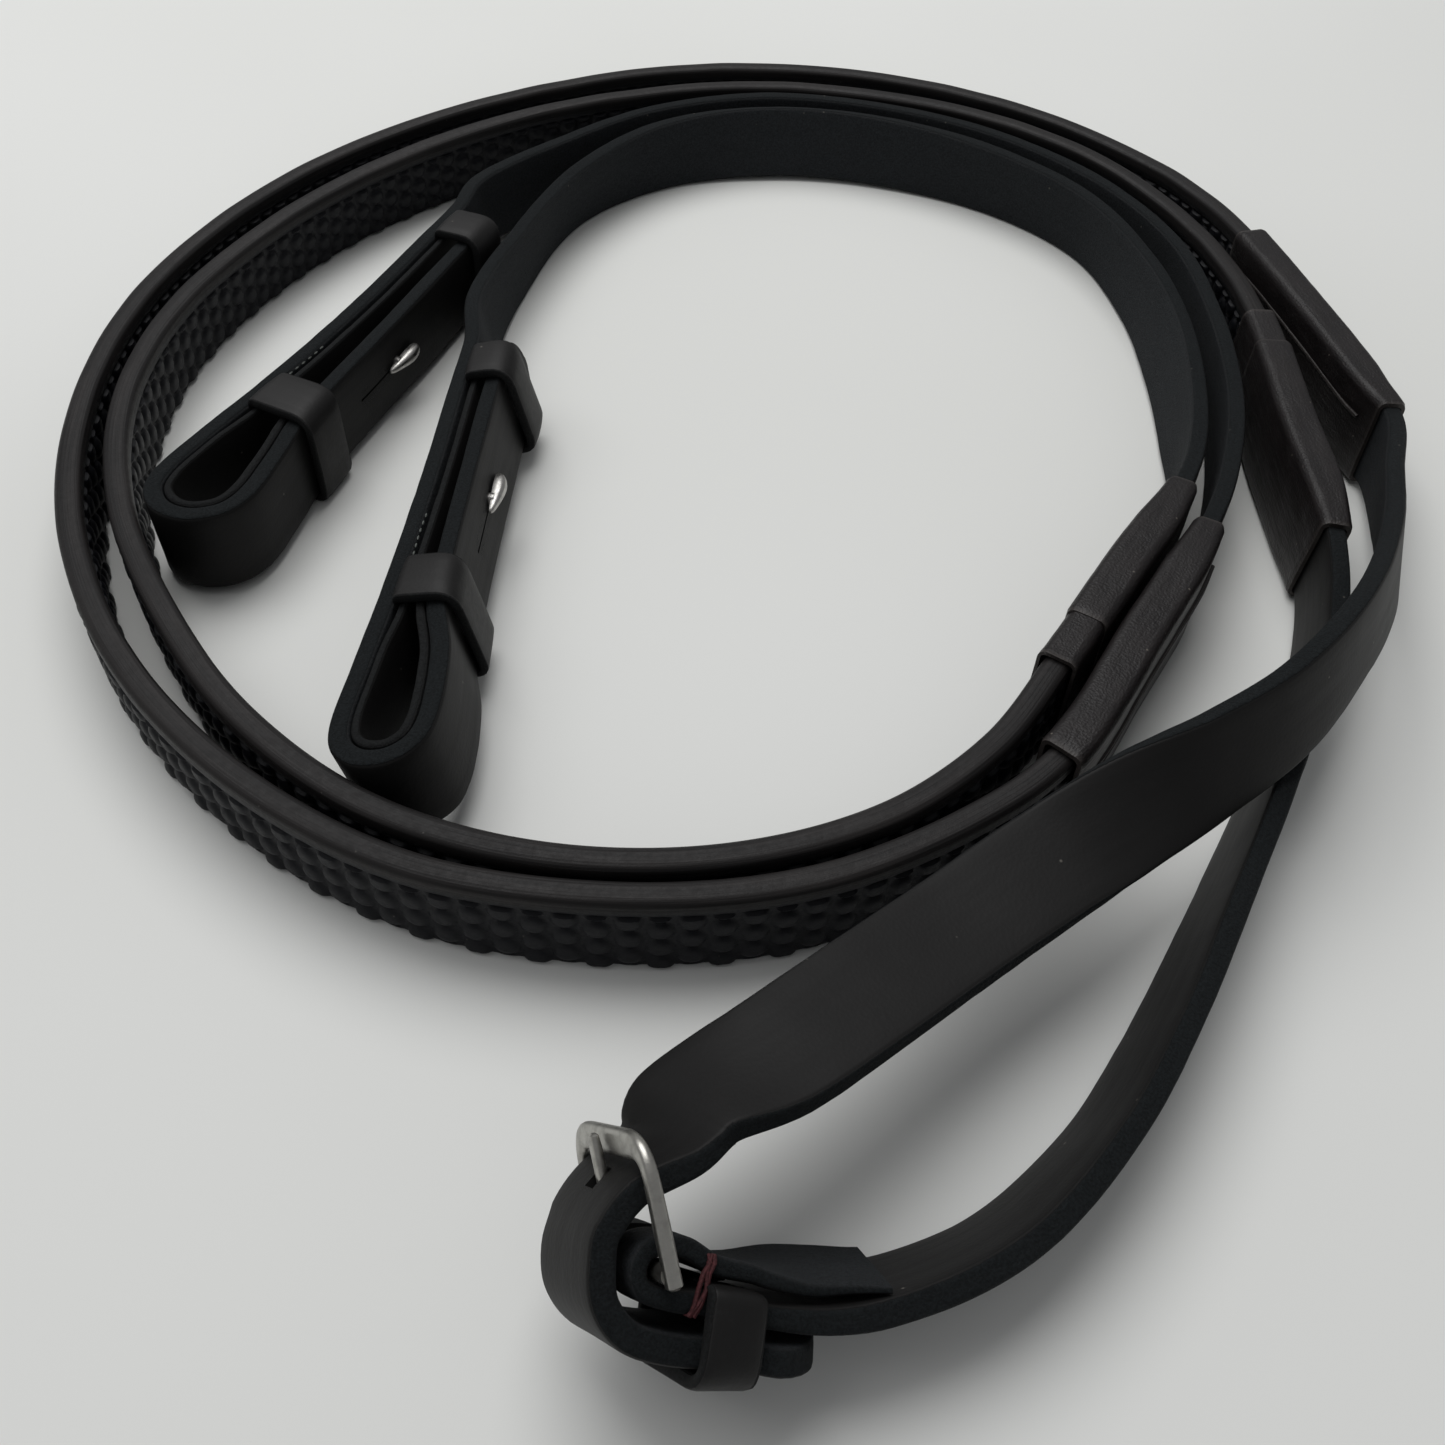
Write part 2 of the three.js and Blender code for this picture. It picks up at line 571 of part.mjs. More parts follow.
// A half frame of flat rails, closed by the round bar that the strap folds round.
function buildBuckleFrame() {
  const half = FRAME_HALF_WIDTH;
  const inner = half - RAIL_WIDTH;
  const [near, far] = [-BAR_RADIUS, FRAME_LENGTH + FAR_RAIL_WIDTH / 2];
  const [corner, round] = [FRAME_CORNER, FRAME_INNER_CORNER];
  const innerFar = far - FAR_RAIL_WIDTH;
  const outline = new THREE.Shape();
  outline.moveTo(near, -half);
  outline.lineTo(far - corner, -half);
  outline.quadraticCurveTo(far, -half, far, -half + corner);
  outline.lineTo(far, half - corner);
  outline.quadraticCurveTo(far, half, far - corner, half);
  outline.lineTo(near, half);
  outline.lineTo(near, inner);
  outline.lineTo(innerFar - round, inner);
  outline.quadraticCurveTo(innerFar, inner, innerFar, inner - round);
  outline.lineTo(innerFar, round - inner);
  outline.quadraticCurveTo(innerFar, -inner, innerFar - round, -inner);
  outline.lineTo(near, -inner);
  outline.closePath();
  const settings = { depth: FRAME_THICK, bevelEnabled: false, curveSegments: 4 };
  const rails = new THREE.ExtrudeGeometry(outline, settings);
  rails.translate(0, 0, -FRAME_THICK / 2);
  rails.rotateX(Math.PI / 2);
  const bar = new THREE.CylinderGeometry(BAR_RADIUS, BAR_RADIUS, 2 * inner + 1, 16);
  bar.rotateX(Math.PI / 2);
  addPart('buckle_frame', inFrame(join(rails, bar)), STEEL);
}

// The tongue: a ring round the bar, and a straight prong that lies on the far rail.
function buildTongue() {
  const ring = TONGUE_LEVEL + TONGUE_THICK / 2;
  const under = TONGUE_LEVEL - TONGUE_THICK / 2;
  const tip = FRAME_LENGTH + TONGUE_TIP.past;
  const outline = new THREE.Shape();
  outline.moveTo(0, ring);
  outline.absarc(0, 0, ring, Math.PI / 2, Math.asin(under / ring), false);
  outline.lineTo(tip, under);
  outline.lineTo(tip, ring - TONGUE_TIP.nose);
  outline.lineTo(tip - TONGUE_TIP.slope, ring);
  outline.closePath();
  const bore = new THREE.Path();
  bore.absarc(0, 0, BAR_RADIUS + GAP, 0, 2 * Math.PI, false);
  outline.holes.push(bore);
  const settings = { depth: TONGUE_WIDTH, bevelEnabled: false, curveSegments: 10 };
  const tongue = new THREE.ExtrudeGeometry(outline, settings);
  tongue.translate(0, 0, -TONGUE_WIDTH / 2);
  addPart('buckle_tongue', inFrame(tongue), STEEL);
}

for (const key of ['a', 'b']) {
  buildFrontEnd(key);
  buildGrip(key);
}
buildHandStraps();
buildCentreKeeper();
buildBuckleFrame();
buildTongue();

export default group;
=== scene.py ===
"""Looks for a coiled pair of leather reins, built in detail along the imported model's own routes.

Lengths are millimetres in the layout that the routes are drawn in, and become metres in closed_mesh.
"""
import itertools
import math

import bmesh
import bpy
import numpy as np
from mathutils import Matrix, Vector


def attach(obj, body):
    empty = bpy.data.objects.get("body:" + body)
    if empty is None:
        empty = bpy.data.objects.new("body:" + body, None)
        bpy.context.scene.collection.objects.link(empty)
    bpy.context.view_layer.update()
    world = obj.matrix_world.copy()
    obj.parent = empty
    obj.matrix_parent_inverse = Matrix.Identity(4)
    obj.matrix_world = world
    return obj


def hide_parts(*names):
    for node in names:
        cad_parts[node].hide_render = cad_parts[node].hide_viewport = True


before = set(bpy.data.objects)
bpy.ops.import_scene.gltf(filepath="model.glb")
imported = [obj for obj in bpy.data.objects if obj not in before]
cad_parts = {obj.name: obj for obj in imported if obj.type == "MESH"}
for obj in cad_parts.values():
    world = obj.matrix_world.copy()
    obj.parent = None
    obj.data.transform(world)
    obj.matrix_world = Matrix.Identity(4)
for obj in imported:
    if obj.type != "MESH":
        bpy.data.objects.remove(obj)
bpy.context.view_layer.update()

# ---- Driving dimensions ----
STRAP_WIDTH = 16
STRAP_THICK = 3.3
LINER_THICK = 1.4
GRIP_HEIGHT = 16.4
GRIP_THICK = 5
WRAP_WALL = 0.9
RUBBER_INTO_WRAP = 12
LOOP_END = 24
KEEPER_LENGTH = 10
CENTRE_KEEPER_LENGTH = 8
POINT_LENGTH = 28
TAB_THICK = 0.4
TAB_DEPTH = 4
GAP = 0.3
STUD_RADIUS = 1.4
SLIT_LENGTH = 14
BAR_RADIUS = 1.1
FRAME_HALF_WIDTH = 11
RAIL_WIDTH = 1.9
FAR_RAIL_WIDTH = 3
FRAME_THICK = 1.8
FRAME_CORNER = 5.5
FRAME_INNER_CORNER = 2.2
TONGUE_WIDTH = 1.8
TONGUE_THICK = 1.2
WRAP_HEIGHT = GRIP_HEIGHT + 2 * GAP + 2 * WRAP_WALL
WRAP_THICK = GRIP_THICK + 2 * GAP + 2 * WRAP_WALL
FLAT_Z = GRIP_HEIGHT / 2
RAISED_Z = WRAP_HEIGHT / 2
LAYOUT_CENTRE = np.array([1.75, 200.35, -0.05])
UP = np.array([0, 0, 1.0])
MM = 0.001


def unit(v):
    v = np.asarray(v, float)
    return v / np.linalg.norm(v, axis=-1, keepdims=True)


def off_plane(v, normal):
    """The part of v that is square to a unit normal."""
    return v - (v * normal).sum(-1, keepdims=True) * normal


def turned(v, axis, degrees):
    """v turned about a unit axis."""
    c, s = math.cos(math.radians(degrees)), math.sin(math.radians(degrees))
    return v * c + np.cross(axis, v) * s + axis * (np.dot(axis, v) * (1 - c))


# ---- The centre buckle's directions: its bar, along the folded strap end, and across it ----
BUCKLE_CENTRE = np.array([-7, 51.3, 18.3])
BAR_AXIS = unit([0.42, -0.42, 0.8])
CHAPE_DIR = unit(off_plane(np.array([0.9, 0.08, -0.43]), BAR_AXIS))
CHAPE_SIDE = np.cross(BAR_AXIS, CHAPE_DIR)
FRAME_ANGLE = math.radians(114)
FRAME_LENGTH = 13.1
FRAME_DIR = math.cos(FRAME_ANGLE) * CHAPE_DIR + math.sin(FRAME_ANGLE) * CHAPE_SIDE
FRAME_FRONT = np.cross(BAR_AXIS, FRAME_DIR)
TONGUE_LEVEL = FRAME_THICK / 2 + GAP + TONGUE_THICK / 2

# ---- Routes: [x, y, z of the strap's middle, lean in degrees] along each rein ----
OUTER_ROUTE = [
    [-61, 291, RAISED_Z], [-45, 314], [-24, 333], [4, 343], [34, 340], [62, 327], [84, 305], [96, 280],
    [99, 252], [97, 222], [91, 199], [83, 181, RAISED_Z], [67, 154, RAISED_Z],
    [50, 127, RAISED_Z], [36, 115.5, 8.7], [14, 104.5], [-12, 100.3], [-42, 103.8], [-70, 118.3], [-94, 141],
    [-112, 171], [-121, 202], [-122.6, 234], [-116.4, 263.5], [-101.6, 295], [-79, 322], [-51, 342.7],
    [-18.5, 356.8], [16, 360], [49, 352.5], [76.6, 336.8], [98.8, 313.5, 8.3], [107.8, 296.3, 8.7],
    [112.3, 280, RAISED_Z], [119.2, 248, RAISED_Z], [123.3, 225, RAISED_Z + 0.1],
    [125.1, 215, RAISED_Z + 0.3], [118, 191.2, 14.5, -13], [109.3, 168.6, 20, -19],
    [95.4, 145.5, 25.7, -17], [82.4, 130.4, 25.3, -22], [70.3, 122.2, 22.2, -31],
    [58, 115.2, 19.6, -57], [46, 106.4, 18.7, -81], [32, 95, 19, -90], [18.5, 82.9, 21.6, -93],
    [7.6, 73.4, 23.4, -99],
]
INNER_ROUTE = [
    [-53.4, 243, RAISED_Z, 7], [-50.5, 268, FLAT_Z, -3], [-39.3, 303.8, 8.3, -11],
    [-19.7, 325.6, FLAT_Z, 3], [6.2, 334.4, 8.3, 18], [33.5, 331.6, 8.3, 11],
    [60.1, 319.2, FLAT_Z, -2], [79.5, 299.4, FLAT_Z, -5], [88.5, 272, FLAT_Z, 4],
    [90.5, 246, FLAT_Z, 11], [88.9, 222.2, FLAT_Z, 8], [86, 205, 8.7], [80, 191, RAISED_Z + 0.05],
    [65.9, 168.4, RAISED_Z], [51.7, 145.6, RAISED_Z], [41.2, 130.1, 8.8], [24.6, 116.1, 8.3], [2, 107.6],
    [-24, 106.4], [-48.9, 113.3], [-71.8, 129.3], [-90.4, 151.5], [-105.6, 177.2], [-114, 205, 8.3],
    [-114.6, 234, 8.4, -4], [-106.9, 262.4, 8.5, -8], [-90.8, 292.6, 8.5, -9], [-64.6, 320.8, 8.5, -7],
    [-34, 339, 8.3], [0, 349], [32, 347], [60, 337], [82, 320], [97, 297], [105, 272, 8.7],
    [107, 248, RAISED_Z], [106, 214, RAISED_Z], [104.4, 179.8, RAISED_Z + 0.1, 2], [96.4, 152.8, 8.6, 8],
    [87.3, 135.8, 8.3, 10], [78.5, 119.7, 8.3, 13], [69.4, 103.7, 8.3, 15], [59.4, 86.7, 8.3, 19],
    [48.8, 71.7, 8.3, 23], [34.9, 58.7, 8.3, 30], [18.3, 51.6, 8.9, 35],
]
BILLETS = {
    "a": {
        "origin": [-101.5, 169, RAISED_Z + 0.1],
        "heading": [0.33, 0.944],
        "tilt": 0,
        "loop": (14, 5.6, 8.4),
        "return_side": [[112, 8.6], [98, 8.6], [80, 9.2], [62, 9.6], [47, 9.9], [36, 10.6], [25, 12.7]],
        "outer_side": [[26, -2.3], [40, -0.9], [60, 0.3], [80, 0.6], [100, 0.2], [116, -0.1]],
        "liner_end": 41,
        "lower_keeper": 35,
        "upper_keeper": 101.5,
        "stud": 68,
    },
    "b": {
        "origin": [-53.5, 116.5, RAISED_Z + 0.5],
        "heading": [0.02, 1],
        "tilt": 12,
        "loop": (10, 5.5, 6.8),
        "return_side": [[112, 7.6], [98, 7.6], [80, 7.7], [62, 7.8], [48, 8], [36, 8.5], [24, 11.6]],
        "outer_side": [[22, -0.9], [36, -0.1], [56, 0.5], [76, 0.7], [92, 0.6], [110, 0.7]],
        "liner_end": 40,
        "lower_keeper": 34.5,
        "upper_keeper": 95,
        "stud": 69,
    },
}
# Outer rein's end: behind the frame, over the tongue, round the eye and back to its point.
BUCKLED_END = [
    [3.4, 16.9, 3.2, 33], [0.9, 12, 3.2, 14], [-4.4, 7.3, 3.2, 2], [-6.5, 3.6, 3.2], [-6.8, 0, 3.2],
    [-5.7, -3.8, 3.2], [-2.6, -6.5, 3.2], [2, -7.4, 3.2], [8, -7.3, 3.2], [12, -7.2, 3.2],
]
POINT_TAIL = [([7.9, 46, 9], 148, 3.2), ([12.6, 46.6, 7.9], 147, 3.2)]
# Inner rein's end: along the near side, round the bar and back, thinned to a feather edge.
FOLDED_END = [
    [13, -3.2, 2.6], [6, -2.6, 2.6], [2, -2.7, 2.4], [-1.9, -1.9, 2.2], [-2.7, 0, 2.2],
    [-1.9, 1.9, 2.2], [2, 2.6, 2.3], [6, 1.2, 2.3], [12.5, 0.4, 1.9],
]
# The last of these stations is past the CAD solid's end: the feather edge reaches a little further.
TURNED_BACK_TAIL = [
    ([10.3, 53.5, 11], -36, 1.5), ([16.1, 54.1, 10.1], -35, 1), ([20.1, 54.4, 9.6], -35, 0.7),
]
REINS = {
    "a": {"front_wrap": (549, 612), "hand_wrap": (1216, 1281)},
    "b": {"front_wrap": (557, 611), "hand_wrap": (1215, 1282)},
}


# ---- Smooth lines and sections along them ----
class Curve:
    """A centripetal Catmull-Rom line through points, with t from 0 to 1 over all of them."""

    def __init__(self, points):
        p = np.array(points, float)
        p = np.vstack([2 * p[0] - p[1], p, 2 * p[-1] - p[-2]])
        gaps = (np.diff(p, axis=0) ** 2).sum(1) ** 0.25
        middle = np.where(gaps[1:-1] < 1e-4, 1, gaps[1:-1])[:, None]
        before = np.where(gaps[:-2] < 1e-4, middle[:, 0], gaps[:-2])[:, None]
        after = np.where(gaps[2:] < 1e-4, middle[:, 0], gaps[2:])[:, None]
        a, b, c, d = p[:-3], p[1:-2], p[2:-1], p[3:]
        leave = ((b - a) / before - (c - a) / (before + middle) + (c - b) / middle) * middle
        arrive = ((c - b) / middle - (d - b) / (middle + after) + (d - c) / after) * middle
        self.terms = [b, leave, 3 * (c - b) - 2 * leave - arrive, 2 * (b - c) + leave + arrive]

    def _place(self, t):
        spans = len(self.terms[0])
        place = np.clip(t, 0, 1) * spans
        span = np.minimum(place.astype(int), spans - 1)
        return [term[span] for term in self.terms], (place - span)[:, None]

    def at(self, t):
        (a, b, c, d), w = self._place(np.asarray(t, float))
        return a + w * (b + w * (c + w * d))

    def direction(self, t):
        (_, b, c, d), w = self._place(np.asarray(t, float))
        return unit(b + w * (2 * c + 3 * w * d))


class Route:
    """A strap's middle line, with its width direction and thickness at each station."""

    def __init__(self, stations):
        self.line = Curve([s["point"] for s in stations])
        self.t = np.linspace(0, 1, 4001)
        steps = np.linalg.norm(np.diff(self.line.at(self.t), axis=0), axis=1)
        self.lengths = np.concatenate([[0], np.cumsum(steps)])
        self.length = self.lengths[-1]
        tangents = self.line.direction(np.linspace(0, 1, len(stations)))
        self.width = Curve([self._across(s, d) for s, d in zip(stations, tangents)])
        self.thicks = np.array([s["thick"] for s in stations], float)

    @staticmethod
    def _across(station, along):
        if "across" in station:
            return station["across"]
        left = unit(np.cross(UP, along))
        lean = math.radians(station["lean"])
        return np.cross(along, left) * math.cos(lean) + left * math.sin(lean)

    def section(self, distances):
        """Centre, along, across, side and thickness at lengths along the route."""
        t = np.interp(distances, self.lengths, self.t)
        along = self.line.direction(t)
        across = unit(off_plane(self.width.at(t), along))
        thick = np.interp(t * (len(self.thicks) - 1), np.arange(len(self.thicks)), self.thicks)
        return self.line.at(t), along, across, np.cross(across, along), thick

    def nearest(self, point, start, end):
        """Length at which the middle line passes nearest to a point."""
        distances = np.arange(start, end, 0.25)
        away = np.linalg.norm(self.section(distances)[0] - point, axis=1)
        return distances[away.argmin()]

    def steps(self, start, end, longest=1.4, turn=0.07):
        """Lengths along the route, closer together where it bends or twists."""
        fine = np.linspace(start, end, int((end - start) / 0.1) + 2)
        _, along, across, _, _ = self.section(fine)
        bend = np.linalg.norm(np.diff(along, axis=0), axis=1)
        twist = np.linalg.norm(np.diff(across, axis=0), axis=1)
        cost = np.maximum(np.diff(fine) / longest, np.maximum(bend, twist) / turn)
        total = np.concatenate([[0], np.cumsum(cost)])
        return np.interp(np.linspace(0, total[-1], int(total[-1]) + 2), total, fine)


class Billet:
    """One billet's own axes, and points given along and across it."""

    def __init__(self, facts):
        self.facts = facts
        self.heading = unit([*facts["heading"], 0])
        self.upright = turned(UP, self.heading, -facts["tilt"])
        self.rightward = np.cross(self.heading, self.upright)

    def point(self, along, across, up=0):
        spot = np.array(self.facts["origin"], float) + along * self.heading
        return spot + across * self.rightward + up * self.upright

    def stations(self):
        along, across, radius = self.facts["loop"]
        points = [self.point(a, b) for a, b in self.facts["return_side"]]
        for degrees in (90, 54, 18, -18, -54, -90):
            angle = math.radians(degrees)
            points.append(self.point(along - radius * math.cos(angle), across + radius * math.sin(angle)))
        points += [self.point(a, b) for a, b in self.facts["outer_side"]]
        return [{"point": p, "across": self.upright, "thick": STRAP_THICK} for p in points]


def buckle_point(along, across, height=0):
    return BUCKLE_CENTRE + along * CHAPE_DIR + across * CHAPE_SIDE + height * BAR_AXIS


def frame_point(x, y, z):
    return BUCKLE_CENTRE + x * FRAME_DIR + y * FRAME_FRONT + z * BAR_AXIS


def route_stations(route):
    made = []
    for x, y, *rest in route:
        z, lean = rest + [FLAT_Z, 0][len(rest):]
        made.append({"point": [x, y, z], "lean": lean, "thick": STRAP_THICK})
    return made


def buckle_stations(points, barward):
    made = []
    for a, b, thick, *twist in points:
        across = turned(barward, CHAPE_SIDE, twist[0] if twist else 0)
        made.append({"point": buckle_point(a, b), "across": across, "thick": thick})
    return made


def tail_stations(tail):
    return [{"point": p, "lean": lean, "thick": thick} for p, lean, thick in tail]


billets = {key: Billet(facts) for key, facts in BILLETS.items()}
routes = {
    "a": Route(billets["a"].stations() + route_stations(OUTER_ROUTE)
               + buckle_stations(BUCKLED_END, -BAR_AXIS) + tail_stations(POINT_TAIL)),
    "b": Route(billets["b"].stations() + route_stations(INNER_ROUTE)
               + buckle_stations(FOLDED_END, BAR_AXIS) + tail_stations(TURNED_BACK_TAIL)),
}


# ---- Noise for small unevenness in shapes ----
def value_noise(points, seed):
    """Smooth noise from -1 to 1, one cell to a unit."""
    cell = np.floor(points)
    share = points - cell
    share = share * share * (3 - 2 * share)
    total = np.zeros(points.shape[:-1])
    for corner in itertools.product((0, 1), repeat=3):
        spot = (cell + corner) @ np.array([127.1, 311.7, 74.7])
        height = np.modf(np.abs(np.sin(spot + 53.1 * seed)) * 43758.5453)[0]
        weight = np.where(corner, share, 1 - share).prod(-1)
        total += weight * height
    return 2 * total - 1


def smoothstep(x, low, high):
    share = np.clip((x - low) / (high - low), 0, 1)
    return share * share * (3 - 2 * share)


# ---- Mesh making ----
SHARP_ANGLE = math.radians(38)
THREAD_END = 0.35


def ring_faces(rings, size, joined):
    """Quads of a skin over closed rings, joined end to start or capped with one face at each end."""
    ring = np.arange(rings if joined else rings - 1)[:, None]
    spot = np.arange(size)[None, :]
    following = (ring + 1) % rings
    after = (spot + 1) % size
    quads = np.stack(np.broadcast_arrays(
        ring * size + spot, ring * size + after, following * size + after, following * size + spot), -1)
    faces = quads.reshape(-1, 4).tolist()
    if not joined:
        faces.append(list(range(size))[::-1])
        faces.append([(rings - 1) * size + i for i in range(size)])
    return faces


def joined_parts(parts):
    """Several skins of rings, each capped at both ends, as one set of points and faces."""
    points, faces, start = [], [], 0
    for rings in parts:
        faces += [[start + i for i in face] for face in ring_faces(*rings.shape[:2], False)]
        points.append(rings.reshape(-1, 3))
        start += len(points[-1])
    return np.vstack(points), faces


def closed_mesh(name, points, faces):
    """A mesh in metres, with its faces turned outwards, from points in layout millimetres."""
    mesh = bpy.data.meshes.new(name)
    mesh.from_pydata(((points.reshape(-1, 3) - LAYOUT_CENTRE) * MM).tolist(), [], faces)
    work = bmesh.new()
    work.from_mesh(mesh)
    bmesh.ops.recalc_face_normals(work, faces=work.faces)
    work.to_mesh(mesh)
    work.free()
    return mesh


def smooth_shade(mesh):
    mesh.shade_smooth()
    mesh.set_sharp_from_angle(angle=SHARP_ANGLE)


def make_piece(name, points, faces, material, replaces=(), body="reins", lane=None, marks=None):
    """A closed piece, riding on a body. lane is the surface's own coordinates in mm."""
    mesh = closed_mesh(name, points, faces)
    lanes = (points - LAYOUT_CENTRE if lane is None else lane).reshape(-1, 3)
    mesh.attributes.new("lane", "FLOAT_VECTOR", "POINT").data.foreach_set("vector", lanes.ravel())
    for mark in ("edge", "flesh"):
        values = np.broadcast_to((marks or {}).get(mark, 0.0), points.shape[:-1]).ravel()
        mesh.attributes.new(mark, "FLOAT", "POINT").data.foreach_set("value", values.astype(np.float32))
    mesh.materials.append(material)
    smooth_shade(mesh)
    piece = bpy.data.objects.new(name, mesh)
    bpy.context.scene.collection.objects.link(piece)
    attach(piece, body)
    if replaces:
        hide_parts(*replaces)
    return piece


def carve(piece, *cutters):
    """Takes cutters away from a piece, and removes them."""
    for cutter in cutters:
        change = piece.modifiers.new("carve", "BOOLEAN")
        change.object = cutter
        change.operation = "DIFFERENCE"
        change.solver = "EXACT"
    bpy.context.view_layer.update()
    carved = bpy.data.meshes.new_from_object(piece.evaluated_get(bpy.context.evaluated_depsgraph_get()))
    piece.modifiers.clear()
    piece.data = carved
    for cutter in cutters:
        bpy.data.objects.remove(cutter)
    smooth_shade(piece.data)


def capsule_cutter(centre, long_axis, length, radius, through_axis, depth):
    """A slot-shaped tool: two half circles joined, pushed through along an axis."""
    long_axis, through = unit(long_axis), unit(through_axis)
    wide = np.cross(through, long_axis)
    points = []
    for end, first in ((1, -90), (-1, 90)):
        for degrees in range(first, first + 181, 30):
            angle = math.radians(degrees)
            spot = long_axis * (end * (length / 2 - radius) + radius * math.cos(angle))
            points.append(centre + spot + wide * radius * math.sin(angle))
    base = np.array(points)
    rings = np.stack([base - through * depth / 2, base + through * depth / 2])
    tool = bpy.data.objects.new("tool", closed_mesh("tool", rings, ring_faces(2, len(points), False)))
    bpy.context.scene.collection.objects.link(tool)
    return tool


def outline_template(corner_points=5, face_points=7, edge_points=3):
    """Rounded rectangle as signs of its corner and a unit offset from the corner's centre."""
    rows = []
    corners = [(1, -1, -90), (1, 1, 0), (-1, 1, 90), (-1, -1, 180)]
    for i, (sx, sy, first) in enumerate(corners):
        for step in range(corner_points):
            angle = math.radians(first + 90 * step / (corner_points - 1))
            rows.append([sx, sy, math.cos(angle), math.sin(angle)])
        nx, ny, _ = corners[(i + 1) % 4]
        count = face_points if sx == nx else edge_points
        angle = math.radians(first + 90)
        for step in range(1, count + 1):
            share = step / (count + 1)
            rows.append([sx + (nx - sx) * share, sy + (ny - sy) * share, math.cos(angle), math.sin(angle)])
    return np.array(rows)


def rounded_outline(template, thick, width, radius, proud=0.0):
    """(side, width) points for each ring. thick, width and radius are one number or one a ring."""
    sx, sy, ax, ay = template.T
    thick, width, radius = [np.asarray(v, float).reshape(-1, 1) for v in (thick, width, radius)]
    side = sx * (thick / 2 - radius) + (radius + proud) * ax
    across = sy * (width / 2 - radius) + (radius + proud) * ay
    return np.stack(np.broadcast_arrays(side, across), -1)


def on_route(route, distances, outline):
    """Points of an outline given in (side, width), placed on each section of a route."""
    centre, _, across, side, _ = route.section(distances)
    return centre[:, None] + outline[..., :1] * side[:, None] + outline[..., 1:] * across[:, None]


def lane_of(distances, outline):
    along = np.broadcast_to(np.asarray(distances)[:, None], outline.shape[:-1])
    return np.stack([along, outline[..., 1], outline[..., 0]], -1)


def tube_faces(paths, radius, sides=6):
    """Round threads along several paths, thinner at both ends, as one set of points and faces."""
    angles = np.linspace(0, 2 * math.pi, sides, endpoint=False)[:, None]
    tubes = []
    for path in paths:
        path = np.array(path, float)
        along = unit(np.gradient(path, axis=0))
        guide = np.where(np.abs(along @ UP)[:, None] > 0.9, np.array([1.0, 0, 0]), UP)
        first = unit(np.cross(along, guide))
        second = np.cross(along, first)
        size = np.full((len(path), 1, 1), float(radius))
        size[[0, -1]] *= THREAD_END
        spokes = first[:, None] * np.cos(angles) + second[:, None] * np.sin(angles)
        tubes.append(path[:, None] + size * spokes)
    return joined_parts(tubes)


# ---- Materials ----
class Shader:
    """Short calls for building one material's nodes. Sockets and plain values both feed inputs."""

    def __init__(self, name):
        self.material = bpy.data.materials.new(name)
        self.material.use_nodes = True
        self.tree = self.material.node_tree
        self.tree.nodes.clear()

    def node(self, kind, settings=None, inputs=None):
        made = self.tree.nodes.new(kind)
        for key, value in (settings or {}).items():
            setattr(made, key, value)
        for key, value in (inputs or {}).items():
            if isinstance(value, bpy.types.NodeSocket):
                self.tree.links.new(value, made.inputs[key])
            else:
                made.inputs[key].default_value = value
        return made

    def attribute(self, name, output="Fac"):
        return self.node("ShaderNodeAttribute", {"attribute_name": name}).outputs[output]

    def scaled(self, vector, scale):
        inputs = {0: vector, 1: scale}
        return self.node("ShaderNodeVectorMath", {"operation": "MULTIPLY"}, inputs).outputs[0]

    def noise(self, vector, scale, detail=3.0, rough=0.55):
        inputs = {"Vector": vector, "Scale": scale, "Detail": detail, "Roughness": rough}
        return self.node("ShaderNodeTexNoise", None, inputs).outputs["Fac"]

    def cells(self, vector, scale):
        inputs = {"Vector": vector, "Scale": scale}
        return self.node("ShaderNodeTexVoronoi", None, inputs).outputs["Distance"]

    def math(self, operation, a, b=0.0):
        return self.node("ShaderNodeMath", {"operation": operation}, {0: a, 1: b}).outputs[0]

    def spread(self, value, low, high, to_low=0.0, to_high=1.0):
        inputs = {"Value": value, "From Min": low, "From Max": high, "To Min": to_low, "To Max": to_high}
        settings = {"interpolation_type": "SMOOTHSTEP"}
        return self.node("ShaderNodeMapRange", settings, inputs).outputs[0]

    def mix(self, share, a, b):
        made = self.node("ShaderNodeMix", {"data_type": "RGBA"})
        sockets = [s for s in made.inputs if s.enabled]
        for socket, value in zip(sockets, (share, a, b)):
            if isinstance(value, bpy.types.NodeSocket):
                self.tree.links.new(value, socket)
            else:
                socket.default_value = value if isinstance(value, float) else (*value, 1.0)
        return [s for s in made.outputs if s.enabled][0]

    def bump(self, height, distance, normal=None):
        inputs = {"Height": height, "Distance": distance, "Strength": 1.0}
        if normal is not None:
            inputs["Normal"] = normal
        return self.node("ShaderNodeBump", None, inputs).outputs[0]

    def finish(self, colour, roughness, normal=None, **more):
        inputs = {"Base Color": colour, "Roughness": roughness}
        inputs.update({key.replace("_", " "): value for key, value in more.items()})
        if normal is not None:
            inputs["Normal"] = normal
        surface = self.node("ShaderNodeBsdfPrincipled", None, inputs).outputs[0]
        output = self.node("ShaderNodeOutputMaterial")
        self.tree.links.new(surface, output.inputs["Surface"])
        return self.material


